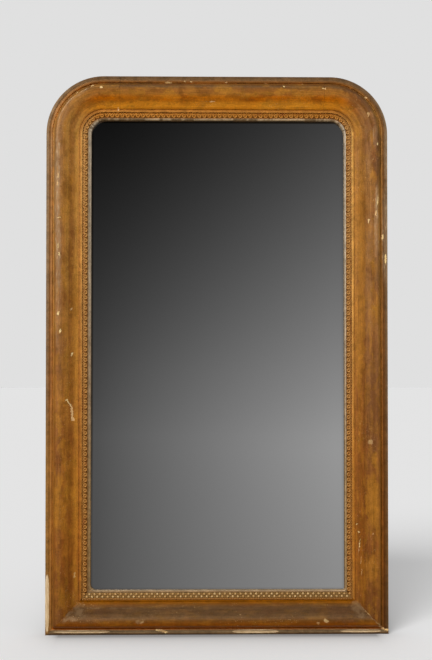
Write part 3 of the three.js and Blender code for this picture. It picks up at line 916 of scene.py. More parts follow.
def mark():
    """One chip, scuff or patch as a mask: long one way, narrow the other, its edge hard or soft."""
    tree, sheet, into, out = new_group(
        "mark", [("Place", "place"), ("X", "number"), ("Z", "number"), ("Half length", "number"),
                 ("Half width", "number"), ("Way X", "number"), ("Way Z", "number"), ("Soft", "number")],
        [("Mask", "number")],
    )
    x, _, z = sheet.split(into["Place"])
    off_x = sheet.minus(x, into["X"])
    off_z = sheet.minus(z, into["Z"])
    lengthways = sheet.plus(sheet.times(off_x, into["Way X"]), sheet.times(off_z, into["Way Z"]))
    sideways = sheet.minus(sheet.times(off_z, into["Way X"]), sheet.times(off_x, into["Way Z"]))
    share_l = sheet.math("POWER", sheet.math("ABSOLUTE", sheet.divide(lengthways, into["Half length"])), 3)
    share_w = sheet.math("POWER", sheet.math("ABSOLUTE", sheet.divide(sideways, into["Half width"])), 3)
    sheet.feed(out["Mask"], sheet.range(
        sheet.plus(share_l, share_w), sheet.plus(1, into["Soft"]), sheet.minus(1, into["Soft"])))
    return tree


def pine_grain():
    """Sawn and planed pine: year rings across, fibres along."""
    tree, sheet, into, out = new_group(
        "pine grain", [("Across", "number"), ("Along", "number"), ("Depth", "number"), ("Seed", "number")],
        [("Rings", "number"), ("Fibres", "number"), ("Stains", "number")],
    )
    drift = sheet.noise(sheet.vector(sheet.divide(into["Across"], 60), sheet.divide(into["Along"], 420),
                                     into["Seed"]), 1.0, 3.0, 0.5)
    curve_in = sheet.plus(sheet.divide(into["Across"], 7.5), sheet.times(drift, 9.0))
    curve_in = sheet.plus(curve_in, sheet.divide(into["Depth"], 9))
    bands = sheet.math("FRACT", curve_in)
    sheet.feed(out["Rings"], sheet.math("POWER", bands, 2.5))
    sheet.feed(out["Fibres"], sheet.noise(
        sheet.vector(sheet.divide(into["Across"], 1.1), sheet.divide(into["Along"], 60),
                     sheet.plus(sheet.divide(into["Depth"], 1.5), into["Seed"])), 1.0, 3.0, 0.6))
    sheet.feed(out["Stains"], sheet.noise(
        sheet.vector(sheet.divide(into["Across"], 70), sheet.divide(into["Along"], 130), into["Seed"]),
        1.0, 4.0, 0.6))
    return tree


places_tree = frame_places()
streak_tree = streaks()
mark_tree = mark()
grain_tree = pine_grain()

# ---------------------------------------------------------------- gilding

SECTION = 124  # the width that the tone ramps cover, from the outer edge inwards

# The finish as a gilder would name it: dirt and brown lacquer, then the gilding, then bare gesso. The shadow
# tone is painted shade only, and the sooty tone is dirt with painted shade.
SHADOW = (50, 38, 24)
SOOT_AND_SHADE = (80, 62, 44)
DIRT = (104, 78, 52)
DUST = (134, 102, 68)
EARTH = (100, 64, 26)
LACQUER = (122, 66, 10)
UMBER = (124, 80, 40)
RUSSET = (146, 86, 10)
BROWN = (148, 96, 48)
BRONZE = (158, 106, 60)
OCHRE = (170, 110, 50)
GOLD = (186, 126, 56)
RUBBED_AND_LIT = (196, 140, 70)
BRIGHT = (218, 158, 82)
AMBER = (202, 110, 6)
HONEY = (208, 130, 34)
OLD_GESSO = (146, 122, 90)
GESSO = (184, 158, 124)

# Which of them shows on each member of the moulding: (inset, left, right, top, bottom). They hold painted
# light and shade as well as the finish: the top rail is painted lighter and the bottom rail darker as the
# light falls on them, and the quirk at 17.5 is painted paler against the shade there.
MEMBER_TONES = [
    # On the bottom the worn lower arris of the outer band is dirt with painted shade.
    (1, DUST, DUST, DIRT, SOOT_AND_SHADE),  # outer band
    (5, DUST, DIRT, DIRT, DIRT),
    (8.5, UMBER, UMBER, DUST, OLD_GESSO),  # groove
    (13, BRONZE, UMBER, UMBER, DUST),  # small roll
    (17.5, RUBBED_AND_LIT, GOLD, GOLD, AMBER),  # quirk
    (22, OCHRE, GOLD, BROWN, LACQUER),  # rise to the crest
    (28, BRONZE, BRONZE, DIRT, LACQUER),  # crest
    (38, BRONZE, UMBER, OCHRE, EARTH),  # slope
    (45, OCHRE, BRONZE, OCHRE, DIRT),
    (54, GOLD, BRONZE, AMBER, DIRT),
    (58.5, OCHRE, BROWN, AMBER, DIRT),  # where the slope turns hollow
    (66, OCHRE, OCHRE, HONEY, DIRT),  # hollow
    (74, GOLD, BROWN, HONEY, EARTH),
    (81.5, OCHRE, OCHRE, RUSSET, RUSSET),  # quirk
    (85, OCHRE, GOLD, OCHRE, RUSSET),  # fillet
    (90, RUBBED_AND_LIT, BRIGHT, GOLD, OCHRE),
    (94, GOLD, BRIGHT, RUSSET, OCHRE),  # bed of the ornament
    (103, DUST, GESSO, BRONZE, OLD_GESSO),  # lip
    (106, OLD_GESSO, GESSO, GESSO, DUST),
    (108.5, GESSO, OLD_GESSO, OLD_GESSO, GESSO),
    # Painted shade where the lip turns down to the glass, on the top and the left.
    (110, GESSO, OLD_GESSO, SHADOW, OLD_GESSO),
    (113, SHADOW, OLD_GESSO, SHADOW, OLD_GESSO),
]

# Along the stiles a painted sheen makes the gilding greyer and paler high up, and darker and more saturated
# low down, where it catches less light: (height, share of the tone left in red, green and blue).
SIDE_SHEEN = [
    (40, (0.62, 0.56, 0.5)), (200, (0.85, 0.72, 0.5)), (450, (0.9, 0.82, 0.7)), (600, (0.97, 0.94, 0.95)),
    (900, (1.1, 1.2, 1.4)), (1200, (1.15, 1.3, 1.6)),
]

# Places of damage on the front: (x, z, half length, half width, turn in degrees).
CHIPS = [
    (-373, 581, 3.4, 1.6, 30), (-368.5, 575, 6, 1.2, -58), (-363, 567, 5, 1.5, -66),
    (-360, 549, 17, 2.5, -86), (-358.2, 533.5, 5, 3.8, -75), (-393.6, 795.6, 5, 2.4, 80),
    (-388.7, 751.2, 5.4, 2.0, 78), (-361.6, 806.2, 4, 1.0, 50), (-360.2, 694.6, 4.5, 1.6, 72),
    (-332.7, 858.9, 4.6, 2.4, 80), (-394, 1137, 6, 1.2, 86), (-396, 1117, 5, 1.6, 86),
    (-392.5, 1032, 5, 1.2, 20), (-394, 962, 6, 1.3, 84), (-391, 942, 4, 1.6, 86),
    (393.7, 1044.8, 7, 2.0, 84), (375.8, 1025.4, 6, 1.6, 82), (412.2, 986.7, 6, 2.6, 78),
    (419.9, 931.9, 12, 2.2, 90), (398, 1076, 12, 1.1, 88), (346.5, 272.2, 3, 1.3, 0, 0.6),
    (352.4, 252.5, 3, 1.5, 0, 0.6), (353.7, 218, 18, 0.8, 84, 0.8), (357, 183, 9, 0.7, 86, 0.6),
    (358.5, 154, 8, 0.7, 86, 0.5), (384.5, 249.7, 3, 0.9, 80, 0.5), (-288, 1355.9, 3.4, 2.4, 20),
    (-347.5, 1342, 3, 1.3, 45), (-310, 1360, 4, 1.2, 15), (-121.7, 1370.7, 9, 1.6, 0),
    (-80.6, 1374, 2, 1.2, 0), (-64, 1373, 3, 1.2, 0), (23, 1372, 2.6, 1.6, 0),
    (121.8, 1369.4, 4, 1.5, 0), (165.3, 1359.2, 2.4, 1.7, 0), (211.9, 1369.8, 2, 1.3, 0),
    (264.9, 1354.7, 5, 1.5, -8), (371, 1336, 3.4, 2.0, -40), (376, 1291, 2.2, 5.0, 12, 0.5),
    (398, 1217, 2, 3, 0), (379, 476.7, 5.6, 5.2, 0, 0.32), (267.6, 36.5, 6, 4.0, -30, 0.4),
    (248, 31.6, 3, 3, 60, 0.25), (-246.5, 1305, 1.4, 5, 0), (-12, 1324, 7, 1.1, 0),
    (-137, 10.5, 15, 3.0, -14, 0.85), (410, 15.5, 12, 2.0, -32, 0.7), (420, 11, 5.5, 3.0, -12, 0.9),
    (368, 58, 15, 0.7, -45, 0.35), (400, 26, 12, 0.8, -45, 0.4), (-186, 34, 5, 2.6, 25, 0.22),
    (-353, 148, 7, 1.6, 84, 0.35),
]
BARE_WOOD = [
    (-420.4, 79, 70, 4.9, 90), (-335, 9.2, 70, 3.5, 0), (94.5, 8.8, 57, 4.6, 0), (355, 8.8, 50, 3.8, 0),
]
# Patches have a last number, their strength. First browner and darker, then more golden.
UMBER_PATCHES = [
    (-150, 1348, 22, 6, 3, 0.8), (-176, 1331, 34, 5, -2, 0.8), (-64, 1326, 26, 4, 0, 0.7),
    (40, 1335, 22, 5, 4, 0.8), (72, 1350, 18, 6, 0, 0.7), (190, 1339, 26, 6, -3, 0.8),
    (212, 1352, 18, 5, 0, 0.6), (-270, 1340, 22, 6, 6, 0.8), (-384, 560, 20, 9, 60, 0.8),
    (-370, 470, 34, 6, 90, 0.8), (-391, 430, 16, 8, 70, 0.8), (-366, 385, 26, 7, 90, 0.8),
    (-380, 330, 14, 9, 40, 0.7), (-372, 250, 24, 6, 90, 0.7), (-358, 640, 40, 5, 90, 0.6),
    (-392, 745, 26, 7, 90, 0.6), (365, 640, 40, 6, 90, 0.7), (356, 560, 34, 5, 90, 0.7),
    (368, 350, 60, 5, 90, 0.7), (360, 260, 50, 6, 90, 0.7), (-312, 1318, 34, 12, 12, 0.7),
    (-352, 1290, 26, 8, 58, 0.5), (-230, 1327, 26, 5, -4, 0.7), (-88, 1340, 9, 22, 0, 0.9),
    (-38, 1346, 16, 12, 0, 0.7), (112, 1342, 34, 13, 0, 0.7), (130, 1331, 9, 9, 0, 0.8),
    (250, 1328, 14, 9, 0, 0.9), (-372, 1193, 12, 7, 80, 0.6), (-372, 1105, 34, 11, 88, 0.8),
    (-366, 928, 46, 7, 90, 0.9), (-380, 932, 16, 6, 85, 0.7), (-380, 520, 50, 10, 90, 0.5),
    (-393, 640, 40, 8, 90, 0.35), (-386, 230, 12, 7, 80, 0.9), (-386, 112, 46, 26, 90, 0.8),
    (-372, 170, 30, 14, 90, 0.6), (-368, 60, 30, 20, 90, 0.5), (349, 1332, 30, 15, -48, 1.0),
    (325, 1351, 24, 8, -28, 0.9), (370, 1311, 18, 11, -60, 0.8), (338, 1317, 13, 8, -45, 1.0),
    (394, 1185, 70, 10, 90, 1.0), (343, 1225, 28, 7, 90, 0.7), (378, 1120, 20, 9, 90, 0.5),
    (382, 900, 22, 9, 90, 0.8), (395, 820, 56, 11, 90, 0.7), (386, 705, 50, 12, 90, 0.5),
    (390, 560, 90, 18, 90, 0.6), (380, 505, 18, 11, 90, 0.9), (374, 530, 14, 6, 90, 0.7),
    (352, 430, 170, 9, 90, 0.45), (378, 205, 18, 12, 90, 0.8), (385, 110, 60, 26, 90, 0.5),
    (-300, 62, 40, 8, 4, 0.4), (300, 60, 60, 9, 0, 0.4),
]
AMBER_PATCHES = [
    (-120, 1337, 26, 6, 0, 0.9), (-196, 1343, 20, 6, 4, 0.8), (76, 1338, 24, 5, -3, 0.9),
    (160, 1346, 18, 7, 0, 0.8), (230, 1338, 14, 7, 0, 0.7), (-392, 520, 30, 7, 90, 0.8),
    (-372, 590, 26, 6, 80, 0.7), (-388, 370, 24, 6, 90, 0.9), (-384, 470, 14, 7, 60, 0.7),
    (-398, 610, 34, 5, 90, 0.6), (396, 300, 60, 6, 90, 0.8), (372, 600, 26, 6, 90, 0.6),
    (-372, 1100, 28, 8, 90, 0.3), (-398, 322, 60, 10, 90, 0.9), (-383, 300, 40, 9, 90, 0.7),
    (-352, 760, 190, 12, 90, 0.6), (-350, 330, 120, 9, 90, 0.6), (391, 430, 18, 7, 90, 0.9),
    (382, 330, 64, 14, 90, 0.9), (382, 165, 34, 14, 90, 0.7), (358, 1000, 130, 14, 90, 0.6),
    (355, 760, 120, 12, 90, 0.6), (18, 1349, 24, 9, 0, 0.9), (0, 1330, 70, 14, 0, 0.5),
    (-200, 1333, 60, 12, 0, 0.4), (372, 1090, 60, 10, 90, 0.4),
]
# Pale greyish bloom where the crest and the edges are worn by rubbing, and a painted highlight along them.
HAZE_AND_HIGHLIGHT_PATCHES = [
    (-397, 1120, 130, 6.5, 90, 0.95), (-395, 960, 60, 7, 90, 0.8), (-395, 880, 40, 7, 90, 0.5),
    (-394, 1262, 30, 4, 82, 0.4), (-377, 1308, 24, 2.6, 57, 0.55), (-345, 1336, 26, 2.6, 36, 0.5),
    (-412, 1190, 46, 6, 90, 0.35), (396, 1070, 40, 4, 89, 0.9), (395, 1000, 60, 6, 90, 0.5),
    (418, 990, 110, 7, 90, 0.6), (420, 1200, 60, 4, 90, 0.4), (-395, 797, 90, 6, 90, 0.3),
    (392, 1235, 26, 6, 90, 0.3),
]
# Grey-brown dirt on the crest.
DUSK_PATCHES = [
    (321, 1354, 46, 7, -20, 0.7), (362, 1327, 44, 9, -45, 0.8), (391, 1285, 40, 8, -70, 0.8),
    (399, 1190, 90, 8, 90, 0.8), (398, 905, 44, 7, 90, 0.7), (386, 560, 120, 15, 90, 0.5),
    (395, 660, 50, 7, 90, 0.5), (-214, 1366, 66, 6, 0, 0.8), (-110, 1367, 26, 4, 0, 0.6),
    (60, 1366, 40, 5, 0, 0.5), (150, 1365, 50, 5, 0, 0.5), (255, 1364, 40, 6, -3, 0.6),
    (-331, 1352, 34, 5, 32, 0.6), (-366, 1326, 26, 4, 50, 0.5), (-384, 700, 60, 9, 90, 0.35),
    (-392, 905, 50, 5, 90, 0.4), (-60, 60, 90, 12, 0, 0.35), (150, 62, 120, 12, 0, 0.4),
    (-310, 52, 50, 16, 0, 0.5), (320, 52, 50, 18, 0, 0.6),
]
SCUFFS = [
    (-362, 55, 28, 5, 46), (-318, 66.5, 34, 1.3, 0), (-240, 66.2, 34, 0.8, 0),
    (384, 40.5, 44, 1.3, -45), (-338, 75, 10, 5, 0), (346, 76, 12, 5, -20), (350, 60, 18, 12, -40),
    (-345, 52, 22, 12, 20), (-190, 37, 12, 4, 12),
]


def marks(sheet, place_now, table, soft):
    """One mask that holds every place of a table, each at its own strength."""
    mask = None
    for x, z, length, width, turned, *strength in table:
        angle = math.radians(turned)
        one = sheet.group(
            mark_tree, Place=place_now, X=x, Z=z, Half_length=length, Half_width=width,
            Way_X=math.cos(angle), Way_Z=math.sin(angle), Soft=soft,
        )[0]
        if strength:
            one = sheet.times(one, strength[0])
        mask = one if mask is None else sheet.most(mask, one)
    return mask


def ragged(sheet, place_now, scale, amount):
    """A place that strays a little, so that a mark's edge is torn."""
    noise = sheet.add("ShaderNodeTexNoise")
    sheet.feed(noise.inputs["Vector"], place_now)
    noise.inputs["Scale"].default_value = 1 / scale
    noise.inputs["Detail"].default_value = 3
    centred = sheet.add("ShaderNodeVectorMath", operation="SUBTRACT")
    sheet.feed(centred.inputs[0], noise.outputs["Color"])
    centred.inputs[1].default_value = (0.5, 0.5, 0.5)
    moved = sheet.add("ShaderNodeVectorMath", operation="MULTIPLY_ADD")
    sheet.feed(moved.inputs[0], centred.outputs[0])
    moved.inputs[1].default_value = (amount, amount, amount)
    sheet.feed(moved.inputs[2], place_now)
    return moved.outputs[0]


def section_ramp(sheet, inset, side):
    """The tones of one side across the moulding. The inset is a share of the whole width."""
    return sheet.ramp(inset, [(row[0] / SECTION, tone(row[side])) for row in MEMBER_TONES])


def side_sheen(sheet, places, share):
    """The painted sheen of the stiles, which changes with height, as a colour to multiply by."""
    height = sheet.divide(places["Height"], HEIGHT)
    fade = sheet.ramp(height, [(place_at / HEIGHT, (*shares, 1)) for place_at, shares in SIDE_SHEEN])
    return sheet.mix(share, (1, 1, 1, 1), fade)


def section_tones(sheet, places, inset, low_share):
    """The gilding's colour across the moulding, on each side, round the corners and along the bottom."""
    left, right, top, bottom = (section_ramp(sheet, inset, side) for side in (1, 2, 3, 4))
    sides = sheet.mix(places["Right"], left, right)
    # The stiles' painted sheen: paler and greyer high up, darker low down.
    sides = sheet.mix(1.0, sides, side_sheen(sheet, places, 1.0), "MULTIPLY")
    upper = sheet.mix(sheet.range(places["Turn"], 0.1, 0.8), top, sides)
    return sheet.mix(low_share, upper, bottom)


def toned_gilding():
    """Toned bronze gilding, streaked, stained, worn by rubbing and chipped, with painted light and shade in
    its tones.
    """
    material, sheet, shader = new_material("toned bronze gilding", 0.46, 0.35)
    shader.inputs["Specular IOR Level"].default_value = 0.06
    places = sheet.group(places_tree)
    inset, along, place_now = places["Inset"], places["Along"], places["Place"]
    streak = sheet.group(streak_tree, Along=along, Inset=inset, Length=75, Width=4.5, Seed=8)[0]
    brushing = sheet.group(streak_tree, Along=along, Inset=inset, Length=22, Width=1.5, Seed=12)[0]
    wipe = sheet.group(streak_tree, Along=along, Inset=inset, Length=46, Width=13, Seed=3)[0]
    mottle = sheet.noise(place_now, 1 / 17, 4.0, 0.62)
    grain = sheet.noise(place_now, 1 / 3.6, 2.0, 0.6)
    cloud = sheet.noise(
        sheet.vector(sheet.divide(along, 90), sheet.divide(inset, 46), 1.7), 1.0, 3.0, 0.55)
    moved_inset = sheet.plus(inset, sheet.times(sheet.minus(streak, 0.5), 3.0))
    # Past the mitre the tone of the rail strays a few millimetres on to the stile, and the other way.
    past_mitre = sheet.plus(places["Over mitre"], sheet.times(sheet.minus(mottle, 0.5), 26))
    low_share = sheet.range(past_mitre, -4.5, 4.5)
    base = section_tones(sheet, places, sheet.divide(moved_inset, SECTION), low_share)
    low_left = sheet.times(sheet.range(places["Height"], 640, 400), sheet.range(inset, 18, 16))
    low_left = sheet.times(low_left, sheet.minus(1, places["Right"]))
    low_left = sheet.times(low_left, sheet.minus(1, low_share))
    base = sheet.mix(sheet.times(low_left, 0.34), base, tone((186, 134, 66)))
    turning = sheet.times(sheet.range(places["Turn"], 0.02, 0.25), sheet.range(places["Turn"], 0.98, 0.75))
    on_fillet = sheet.times(sheet.range(inset, 75, 81), sheet.range(inset, 90, 89))
    base = sheet.mix(sheet.times(sheet.times(turning, on_fillet), 0.6), base, tone((132, 82, 34)))
    worn = sheet.noise(sheet.vector(sheet.divide(along, 26), 0.3, 0.7), 1.0, 3.0, 0.6)
    on_lip = sheet.times(sheet.range(inset, 103, 104.5), sheet.range(places["Height"], 1240, 1260))
    base = sheet.mix(sheet.times(on_lip, sheet.range(worn, 0.46, 0.58, 0, 0.7)), base, tone((78, 56, 30)))

    # Clouds of browner and of yellower lacquer, then patches of both where they are strongest.
    torn = ragged(sheet, place_now, 13, 30)
    on_slope = sheet.times(sheet.range(inset, 16, 24), sheet.range(inset, 84, 77))
    calm = sheet.minus(1, sheet.times(places["Bottom"], 0.65))
    browner = sheet.plus(sheet.range(cloud, 0.5, 0.7, 0, 0.5), sheet.range(mottle, 0.5, 0.7, 0, 0.42))
    browner = sheet.plus(browner, sheet.range(wipe, 0.5, 0.68, 0, 0.42))
    browner = sheet.times(browner, calm)
    yellower = sheet.plus(sheet.range(cloud, 0.5, 0.3, 0, 0.45), sheet.range(mottle, 0.48, 0.3, 0, 0.4))
    yellower = sheet.plus(yellower, sheet.range(wipe, 0.5, 0.34, 0, 0.4))
    yellower = sheet.times(yellower, calm)
    umber = sheet.times(marks(sheet, torn, UMBER_PATCHES, 0.75), 0.8)
    amber = sheet.times(marks(sheet, torn, AMBER_PATCHES, 0.75), 0.7)
    browner = sheet.times(sheet.most(browner, umber), on_slope, clamp=True)
    yellower = sheet.times(sheet.most(yellower, amber), on_slope, clamp=True)
    base = sheet.mix(browner, base, sheet.mix(0.6, base, tone((96, 48, 22))))
    base = sheet.mix(yellower, base, sheet.mix(0.6, base, tone((200, 136, 44))))

    dusk = sheet.times(marks(sheet, torn, DUSK_PATCHES, 0.75), sheet.range(mottle, 0.36, 0.62, 0.4, 0.95))
    base = sheet.mix(sheet.times(dusk, 0.75), base, tone((92, 66, 46)))

    # Light and dark along the brush, and in the grain of the gesso.
    level = sheet.plus(sheet.range(streak, 0.3, 0.7, 0.88, 1.12, "LINEAR"),
                       sheet.range(brushing, 0.25, 0.75, -0.12, 0.12, "LINEAR"))
    level = sheet.plus(level, sheet.range(grain, 0.3, 0.7, -0.14, 0.14, "LINEAR"))
    level = sheet.plus(level, sheet.range(mottle, 0.34, 0.66, -0.2, 0.2, "LINEAR"))
    base = sheet.mix(1.0, base, sheet.vector(level, level, level), "MULTIPLY")

    # Thin dark scratches, then a greyish bloom and pale streaks along the crest: worn gilding with a painted
    # highlight.
    scratch = sheet.group(streak_tree, Along=along, Inset=inset, Length=150, Width=1.3, Seed=31)[0]
    base = sheet.mix(sheet.times(sheet.range(scratch, 0.6, 0.7, 0, 0.55), on_slope), base, tone((84, 44, 14)))
    rub_and_glint = sheet.group(streak_tree, Along=along, Inset=inset, Length=20, Width=3.2, Seed=21)[0]
    haze_and_highlight = marks(sheet, ragged(sheet, place_now, 9, 10), HAZE_AND_HIGHLIGHT_PATCHES, 0.8)
    base = sheet.mix(sheet.times(haze_and_highlight, sheet.range(rub_and_glint, 0.35, 0.65, 0.2, 0.62)), base, tone((184, 156, 122)))
    rubbed_and_glinting = sheet.times(haze_and_highlight, sheet.range(rub_and_glint, 0.56, 0.7))
    base = sheet.mix(sheet.times(rubbed_and_glinting, 0.6), base, tone((226, 196, 150)))

    # Chips down to the gesso, scuffs of dust, and bare wood at the outer edges.
    torn_fine = ragged(sheet, place_now, 3.4, 8)
    chips = marks(sheet, torn_fine, CHIPS, 0.35)
    bare = marks(sheet, ragged(sheet, place_now, 3, 2.4), BARE_WOOD, 0.12)
    scuffs = sheet.times(marks(sheet, ragged(sheet, place_now, 6, 12), SCUFFS, 0.7),
                        sheet.range(mottle, 0.36, 0.6, 0.12, 0.85))
    specks = sheet.times(sheet.range(sheet.noise(place_now, 1 / 2.3, 1.0, 0.5), 0.68, 0.75),
                        sheet.range(sheet.noise(place_now, 1 / 60, 2.0, 0.5), 0.48, 0.62))
    base = sheet.mix(sheet.times(scuffs, 0.5), base, tone((150, 122, 88)))
    base = sheet.mix(sheet.times(specks, sheet.times(on_slope, 0.7)), base, tone((222, 180, 124)))
    wood = sheet.mix(sheet.range(brushing, 0.3, 0.7), tone((182, 150, 108)), tone((228, 202, 160)))
    base = sheet.mix(bare, base, wood)
    gesso = sheet.mix(sheet.range(mottle, 0.4, 0.6), tone((238, 206, 144)), tone((224, 178, 122)))
    base = sheet.mix(chips, base, gesso)
    sheet.feed(shader.inputs["Base Color"], base)
    damage = sheet.most(chips, bare)
    satin = sheet.range(streak, 0.3, 0.7, 0.42, 0.54, "LINEAR")
    sheet.feed(shader.inputs["Roughness"], sheet.plus(satin, sheet.times(damage, 0.35)))
    sheet.feed(shader.inputs["Metallic"], sheet.times(sheet.minus(1, damage), 0.3))
    relief = sheet.plus(sheet.times(brushing, 0.12), sheet.times(grain, 0.1))
    relief = sheet.minus(relief, sheet.times(damage, 0.6))
    raise_surface(sheet, shader, relief, 1.0)
    return material


def gilt_composition():
    """The pressed ornament: worn and painted with a highlight on its tops, painted shade and dark lacquer in
    its low places.
    """
    material, sheet, shader = new_material("gilt composition ornament", 0.46, 0.3)
    shader.inputs["Specular IOR Level"].default_value = 0.06
    places = sheet.group(places_tree)
    sides = sheet.mix(places["Right"], tone((178, 126, 67)), tone((182, 129, 70)))
    # Part of the stiles' painted sheen.
    sides = sheet.mix(1.0, sides, side_sheen(sheet, places, 0.45), "MULTIPLY")
    faces = sheet.mix(sheet.range(places["Turn"], 0.1, 0.8), tone((181, 117, 46)), sides)
    faces = sheet.mix(places["Bottom"], faces, tone((178, 136, 82)))
    patchy = sheet.noise(
        sheet.vector(sheet.divide(places["Along"], 34), sheet.divide(places["Inset"], 14), 5.0),
        1.0, 3.0, 0.6)
    browned = sheet.minus(sheet.range(patchy, 0.5, 0.7, 0, 0.6), sheet.times(places["Bottom"], 0.35))
    faces = sheet.mix(sheet.most(browned, 0), faces, tone((146, 84, 44)))
    # The tops are paler: worn gilding and a painted highlight.
    rubbed_and_glinting = sheet.times(sheet.range(places["Front"], 9.2, 10.6), sheet.range(patchy, 0.56, 0.4, 0.15, 0.75))
    faces = sheet.mix(rubbed_and_glinting, faces, sheet.mix(places["Bottom"], tone((206, 160, 98)), tone((214, 182, 132))))
    cord = sheet.times(places["Bottom"], sheet.range(places["Inset"], 91.2, 90.2))
    faces = sheet.mix(cord, faces, tone((166, 116, 64)))
    # Painted shade, with toned lacquer, lies dark in the corners between the rings, most of all beside the
    # lip where its shadow falls.
    lip_side = sheet.times(sheet.range(places["Inset"], 93.5, 98.5, 0.34, 0.9),
                          sheet.minus(1, places["Bottom"]))
    lip_side = sheet.most(lip_side, sheet.times(places["Bottom"], 0.62))
    shade_and_lacquer = sheet.times(sheet.range(places["Front"], 9.6, 7.8), lip_side)
    deep = sheet.mix(places["Bottom"], tone((104, 64, 22)), tone((98, 70, 32)))
    sheet.feed(shader.inputs["Base Color"], sheet.mix(shade_and_lacquer, faces, deep))
    raise_surface(sheet, shader, sheet.noise(places["Place"], 0.9, 2.0), 0.3)
    return material


# ---------------------------------------------------------------- glass, wood and iron

def silvered_glass():
    """Old plate glass: clear silver, browner towards its edges, painted at its back."""
    material, sheet, shader = new_material("old silvered glass", 0.02, 1.0)
    places = sheet.group(places_tree)
    x, y, z = sheet.split(places["Place"])
    edge_left = sheet.minus(x, SIGHT["left"])
    edge_right = sheet.minus(SIGHT["right"], x)
    edge_top = sheet.minus(SIGHT["top"], z)
    edge_bottom = sheet.minus(z, SIGHT["bottom"])
    # Browner along the sight edges, most at the top and the left.
    left_darkening = sheet.range(places["Height"], 200, 600, 0.25, 0.8)
    darker_edge = sheet.times(sheet.range(edge_left, 6.0, 1.0), left_darkening)
    darker_edge = sheet.most(darker_edge, sheet.range(edge_top, 5.5, 2.0, 0, 0.9))
    darker_edge = sheet.most(darker_edge, sheet.range(edge_right, 8.0, 0.0, 0, 0.22))
    darker_edge = sheet.most(darker_edge, sheet.range(edge_bottom, 7.0, 0.5, 0, 0.2))
    foxing = sheet.noise(places["Place"], 1 / 9, 3.0, 0.6)
    spots = sheet.times(sheet.range(foxing, 0.72, 0.8, 0, 0.12),
                       sheet.range(sheet.least(edge_left, edge_bottom), 60, 8))
    clear = sheet.mix(spots, tone((243, 243, 243)), tone((120, 110, 96)))
    clear = sheet.mix(darker_edge, clear, tone((118, 96, 62)))
    # Dark paint covers the silver at the back of the plate.
    plate_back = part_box("mirror_glass")[1][1] / MM
    painted = sheet.range(y, plate_back - 0.4, plate_back - 0.2)
    sheet.feed(shader.inputs["Base Color"], sheet.mix(painted, clear, tone((74, 50, 38))))
    sheet.feed(shader.inputs["Roughness"], sheet.range(painted, 0, 1, 0.02, 0.6))
    return material


BOARD_WIDTH = 243


def pine(name, pale, dark, upright):
    """Bare pine whose fibres stand upright or lie level."""
    material, sheet, shader = new_material(name, 0.8)
    x, y, z = sheet.split(sheet.object_place())
    across, along = (x, z) if upright else (z, x)
    # Each board of the usual width has its own rings.
    board = sheet.math("FLOOR", sheet.divide(sheet.plus(across, 2000), BOARD_WIDTH))
    grain = sheet.group(grain_tree, Across=across, Along=along, Depth=y, Seed=sheet.times(board, 3.3))
    colour = sheet.mix(grain["Rings"], tone(pale), tone(dark))
    colour = sheet.mix(sheet.range(grain["Stains"], 0.42, 0.75, 0, 0.6), colour, tone((84, 62, 44)))
    fibre = sheet.range(grain["Fibres"], 0.25, 0.75, 0.78, 1.15, "LINEAR")
    colour = sheet.mix(1.0, colour, sheet.vector(fibre, fibre, fibre), "MULTIPLY")
    sheet.feed(shader.inputs["Base Color"], colour)
    sheet.feed(shader.inputs["Roughness"], sheet.range(grain["Fibres"], 0.3, 0.7, 0.72, 0.9, "LINEAR"))
    raise_surface(sheet, shader, sheet.plus(grain["Fibres"], sheet.times(grain["Rings"], 0.5)), 0.4)
    return material


upright_pine = pine("old pine, upright", (158, 118, 76), (122, 84, 50), True)
level_pine = pine("old pine, level", (154, 114, 72), (118, 80, 48), False)
backing_pine = pine("backing pine", (144, 108, 70), (108, 76, 46), False)


def worn_metal(name, colour, rust, metallic, rough):
    """Dark metal that has lost its shine where it has rusted."""
    material, sheet, shader = new_material(name, rough, metallic)
    coordinates = sheet.add("ShaderNodeTexCoord").outputs["Object"]
    patches = sheet.noise(coordinates, 180.0, 4.0, 0.65)
    pits = sheet.noise(coordinates, 900.0, 2.0, 0.5)
    rusted = sheet.range(patches, 0.5, 0.68)
    sheet.feed(shader.inputs["Base Color"], sheet.mix(rusted, tone(colour), tone(rust)))
    sheet.feed(shader.inputs["Metallic"], sheet.times(sheet.minus(1, rusted), metallic))
    roughness = sheet.range(patches, 0.35, 0.7, rough - 0.1, rough + 0.25, "LINEAR")
    sheet.feed(shader.inputs["Roughness"], roughness)
    raise_surface(sheet, shader, sheet.plus(pits, patches), 0.2)
    return material


gilding = toned_gilding()
ornament = gilt_composition()
silvering = silvered_glass()
iron = worn_metal("wrought iron", (72, 66, 62), (104, 62, 38), 0.8, 0.5)
steel = worn_metal("screw steel", (118, 112, 104), (98, 64, 42), 0.9, 0.4)

# ---------------------------------------------------------------- finishing every piece

# The lower front arris is worn round where the frame has stood.
BAND_FRONT = MOULDING_BACK - BAND_HEIGHT
ARRIS_WEAR = 4.5
edit(lower_rail)
bpy.ops.mesh.select_mode(type="EDGE")
leave_edit()
for edge in lower_rail.data.edges:
    ends = [lower_rail.data.vertices[index].co / MM for index in edge.vertices]
    edge.select = all(abs(end.z) < 0.01 and abs(end.y - BAND_FRONT) < 0.01 for end in ends)
bpy.ops.object.mode_set(mode="EDIT")
bpy.ops.mesh.bevel(offset=ARRIS_WEAR * MM, segments=4, affect="EDGES")
leave_edit()

